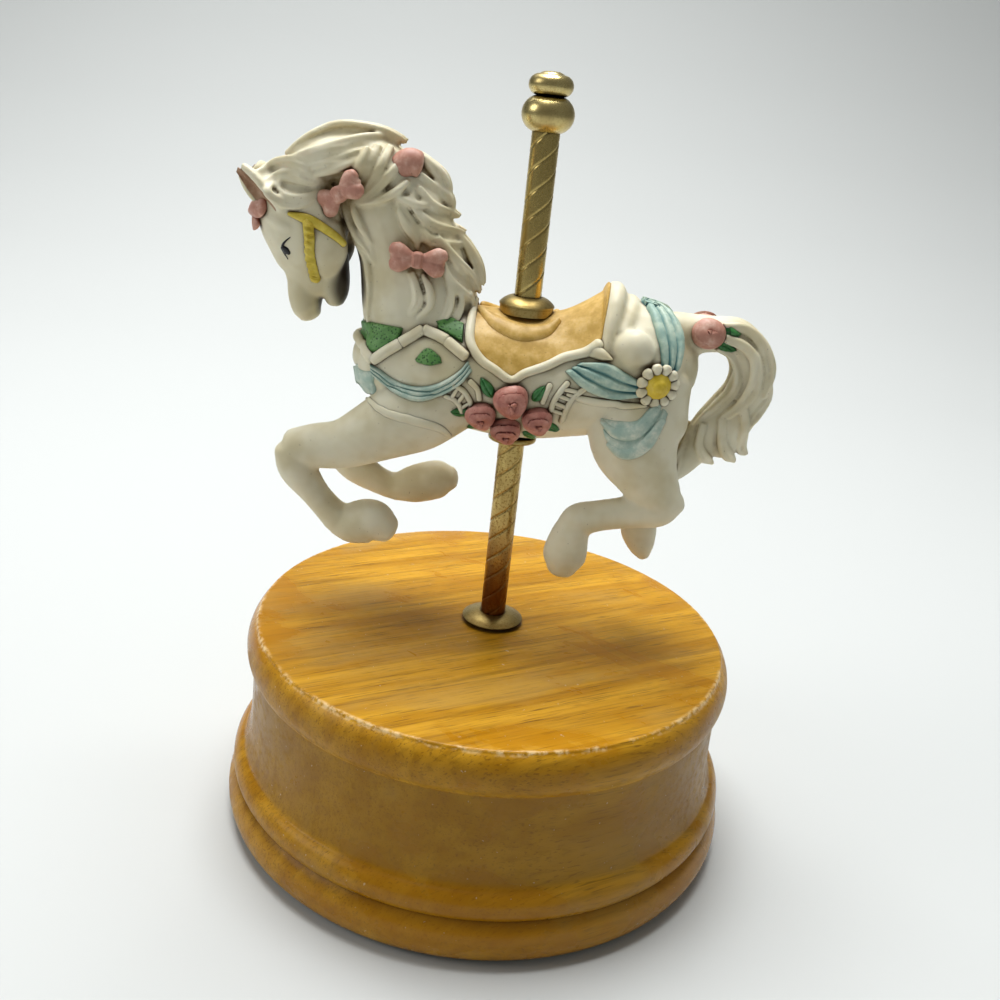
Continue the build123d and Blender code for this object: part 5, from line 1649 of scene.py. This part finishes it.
        self.paint(tails, "ribbon_tails", PaintedBisque(Glaze.SWAG_BLUE, worn=0.6).material())
        flowers = self.both(lambda s: [rose((x, y * s, z), body, r, 2.4 + 0.2 * k)
                                       for k, ((x, y, z), r) in enumerate(self.roses)])
        self.paint(flowers, "roses", PaintedBisque(Glaze.ROSE_PINK, worn=0.15).material())
        leaves = self.both(lambda s: [leaf((a[0], a[1] * s, a[2]), (b[0], b[1] * s, b[2]), body, w)
                                      for a, b, w in self.leaves])
        leaves += self.both(lambda s: [leaf((38.2, -2.6 * s, 116.2), (43.0, -3.0 * s, 117.4), tail, 1.3, 0.8),
                                       leaf((38.2, -2.8 * s, 115), (42.8, -3.2 * s, 113.4), tail, 1.3, 0.8)])
        self.paint(leaves, "leaves", PaintedBisque(Glaze.LEAF_GREEN, worn=0.05, rough=0.3).material())
        petals, hearts = [], []
        for side in (1, -1):
            x, y, z = self.daisy_centre
            point, normal = body.nearest(Vector((x, y * side, z)))
            over = normal.cross(Vector((1, 0, 0))).normalized()
            along = normal.cross(over)
            for k in range(self.daisy_petals):
                a = math.tau * k / self.daisy_petals + 0.2
                out = along * math.cos(a) + over * math.sin(a)
                ends = [(*(point + out * r + normal * 0.55), d, w)
                        for r, d, w in ((2.6, 0.8, 0.6), (3.6, 1.16, 0.85), (4.1, 0.95, 0.7))]
                petals.append(limb("petal", ends, 14, 4, 0.7, normal))
            dome = [(*(point + normal * h), r, r)
                    for h, r in ((-0.2, 2.6), (0.7, 2.7), (1.3, 2.3), (1.7, 1.5))]
            hearts.append(limb("heart", dome, 32, 4, 0.35, Vector((1, 0, 0))))
        self.paint(petals, "daisy_petals", bisque)
        self.paint(hearts, "daisy_hearts", PaintedBisque(Glaze.DAISY_YELLOW, worn=0.1).material())
        pinks = self.both(lambda s: [ribbon_bow((x, y * s, z), tilt, head, size)
                                     for (x, y, z), tilt, size in self.bows])
        pinks += self.both(lambda s: [rose((36.4, -2.2 * s, 115.9), tail, 3.4, 1.6, 2, 0.1)])
        pinks += self.both(lambda s: [limb("forehead_loop", [(x, y * s, z, d, w) for x, y, z, d, w in line],
                                           16, 6, 0.6, Vector((0.3, 0, 1)))
                                      for line in (self.forehead_loop, self.forehead_end)])
        pinks.append(limb("forehead_knot", self.forehead_knot, 16, 3, 0.5, Vector((1, 0, 0))))
        pinks.append(limb("crest_knot", self.crest_knot, 20, 4, 0.4))
        self.paint(pinks, "pink_bows", PaintedBisque(Glaze.BOW_PINK, worn=0.3).material())
        horse = Horse()
        linings = [cupped_leaf("lining", horse.ear_spine(side, 0.95), (1.3, 1.7, 1.4, 0.5),
                               horse.ear_opening(side), 66, 0.5, 12, 10) for side in (-1, 1)]
        self.paint(linings, "ear_linings", PaintedBisque(Glaze.EAR_BROWN, worn=0.2).material())
        straps = self.both(lambda s: [welt(turn(self.cheek_strap, s), head, 1.05, 0.9, 14, 1.35),
                                      welt(turn(self.brow_strap, s), head, (0.4, 1.0, 0.9, 0.85, 0.7), 0.6,
                                           8)])
        self.paint(straps, "bridle", PaintedBisque(Glaze.BRIDLE_YELLOW, worn=0.1).material())
        eyes = self.both(lambda s: [welt(turn(self.upper_lid, s), head, (0.08, 0.22, 0.26), 0.12, 6),
                                    welt(turn(self.lower_lid, s), head, (0.26, 0.18, 0.06), 0.12, 6),
                                    welt(turn(self.pupil, s), head, (0.5, 0.72, 0.5), 0.3, 6)])
        self.paint(eyes, "eyes", PaintedBisque(Glaze.EYE_BLACK, worn=0.0, rough=0.25).material())


# ------------------------------------------------------------------ movement


@dataclass
class Movement:
    """The spring movement under the base, dressed part by part."""

    steel: tuple[str, ...] = (
        "thrust_washer", "bottom_plate_screws", "bedplate_screws", "comb", "comb_screws",
        "bracket_screws", "governor_screws", "cylinder_arbor", "cylinder_pinion",
        "second_arbor", "second_pinion", "governor_worm", "center_rod", "winding_arbor")
    brass: tuple[str, ...] = (
        "top_bush", "spring_barrel", "barrel_cover", "music_cylinder", "cylinder_wheel",
        "worm_wheel", "inner_bracket", "outer_bracket")

    def build(self) -> None:
        """Dress every part of the movement."""
        steel = PlainMetal("turned_steel", "C8CACC", 0.3).material()
        brass = PlainMetal("machined_brass", "D2B268", 0.32).material()
        zinc = PlainMetal("zinc_casting", "A9ACAE", 0.5, 3.0).material()
        blued = PlainMetal("blued_spring_steel", "4A5670", 0.28).material()
        key = PlainMetal("plated_key_steel", "CDB684", 0.3).material()
        wood = RawPlywood().material()
        nylon = MouldedNylon().material()
        groups = ((self.steel, steel), (self.brass, brass), (("bedplate", "governor_frame"), zinc),
                  (("clutch_spring", "mainspring"), blued), (("winding_key",), key),
                  (("bottom_plate",), wood), (("governor_fan",), nylon))
        for names, material in groups:
            for name in names:
                dress(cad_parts[name], material)


# ------------------------------------------------------------------ stage


@dataclass
class Studio:
    """Pale sweep, soft light from above and the camera."""

    eye: Place = (0.0, -212.7, 154.3)
    aim: Place = (-1.1, 0.0, 74.8)
    roll: float = 6.26
    lens: float = 37.81
    sweep_width: float = 6000.0
    sweep_front: float = -1500.0
    sweep_back: float = 260.0
    sweep_height: float = 1500.0
    curve_share: float = 0.9
    curve_steps: int = 14
    paper: str = "CED1D0"
    fill_color: str = "E4E6E2"
    fill_strength: float = 0.26
    lamps: tuple[tuple[str, Place, Place, float, float], ...] = (
        ("overhead", (-60, 150, 900), (0, 20, 60), 520, 10.0),
        ("left_window", (-900, -250, 620), (0, 0, 80), 500, 2.4),
        ("backdrop_wash", (-260, 700, 1000), (-60, 1150, 300), 800, 3.8))

    def sweep(self) -> None:
        """Floor that curves up into the backdrop."""
        bpy.ops.object.select_all(action="DESELECT")
        bpy.ops.mesh.primitive_plane_add(size=1.0)
        floor = bpy.context.object
        floor.name = "sweep"
        half = mm(self.sweep_width / 2)
        bpy.ops.object.mode_set(mode="EDIT")
        plane = bmesh.from_edit_mesh(floor.data)
        for vertex in plane.verts:
            vertex.co.x = half if vertex.co.x > 0 else -half
            vertex.co.y = mm(self.sweep_back if vertex.co.y > 0 else self.sweep_front)
        back = [e for e in plane.edges if all(v.co.y > 0 for v in e.verts)]
        radius = self.sweep_height * self.curve_share
        for k in range(1, self.curve_steps + 1):
            angle = math.pi / 2 * k / self.curve_steps
            made = bmesh.ops.extrude_edge_only(plane, edges=back)
            verts = [g for g in made["geom"] if isinstance(g, bmesh.types.BMVert)]
            back = [g for g in made["geom"] if isinstance(g, bmesh.types.BMEdge)]
            for vertex in verts:
                vertex.co.y = mm(self.sweep_back + radius * math.sin(angle))
                vertex.co.z = mm(radius * (1 - math.cos(angle)))
        made = bmesh.ops.extrude_edge_only(plane, edges=back)
        for vertex in (g for g in made["geom"] if isinstance(g, bmesh.types.BMVert)):
            vertex.co.z = mm(self.sweep_height)
        bmesh.update_edit_mesh(floor.data)
        bpy.ops.object.mode_set(mode="OBJECT")
        smooth(floor, 60)
        s = Shader("matt_paper")
        dress(floor, s.surface(Base_Color=linear(self.paper), Roughness=0.9))

    def lamp(self, name: str, place: Place, aim: Place, size: float, power: float) -> None:
        """Add one square soft light.

        Args:
            name: the light's name.
            place: position in millimetres.
            aim: point it faces, in millimetres.
            size: side in millimetres.
            power: watts.
        """
        data = bpy.data.lights.new(name, "AREA")
        data.energy = power
        data.size = mm(size)
        light = bpy.data.objects.new(name, data)
        bpy.context.collection.objects.link(light)
        light.location = mm(*place)
        light.rotation_euler = (mm(*aim) - mm(*place)).to_track_quat("-Z", "Y").to_euler()

    def air(self) -> None:
        """Even fill from all round."""
        world = bpy.data.worlds.new("studio_air")
        bpy.context.scene.world = world
        world.use_nodes = True
        nodes = world.node_tree.nodes
        nodes["Background"].inputs[0].default_value = linear(self.fill_color)
        nodes["Background"].inputs[1].default_value = self.fill_strength

    def camera(self) -> None:
        """Camera above and in front of the horse's decorated side."""
        data = bpy.data.cameras.new("camera")
        data.lens = self.lens
        data.sensor_width = 36.0
        data.clip_start = mm(10)
        camera = bpy.data.objects.new("camera", data)
        bpy.context.collection.objects.link(camera)
        view = (mm(*self.aim) - mm(*self.eye)).to_track_quat("-Z", "Y").to_matrix().to_4x4()
        roll = Matrix.Rotation(math.radians(self.roll), 4, "Z")
        camera.matrix_world = Matrix.Translation(mm(*self.eye)) @ view @ roll
        bpy.context.scene.camera = camera

    def build(self) -> None:
        """Set the stage."""
        bpy.context.scene.view_settings.view_transform = "Standard"
        self.sweep()
        for lamp in self.lamps:
            self.lamp(*lamp)
        self.air()
        self.camera()


def main() -> None:
    """Build every piece in order and report it."""
    logging.basicConfig(level=logging.INFO, format="%(name)s: %(message)s")
    for maker in (WoodenBase(), BrassFittings(), Horse(), Movement(), Studio()):
        maker.build()
        log.info("%s: %s", type(maker).__name__, (type(maker).__doc__ or "").splitlines()[0])


if __name__ == "__main__":
    main()
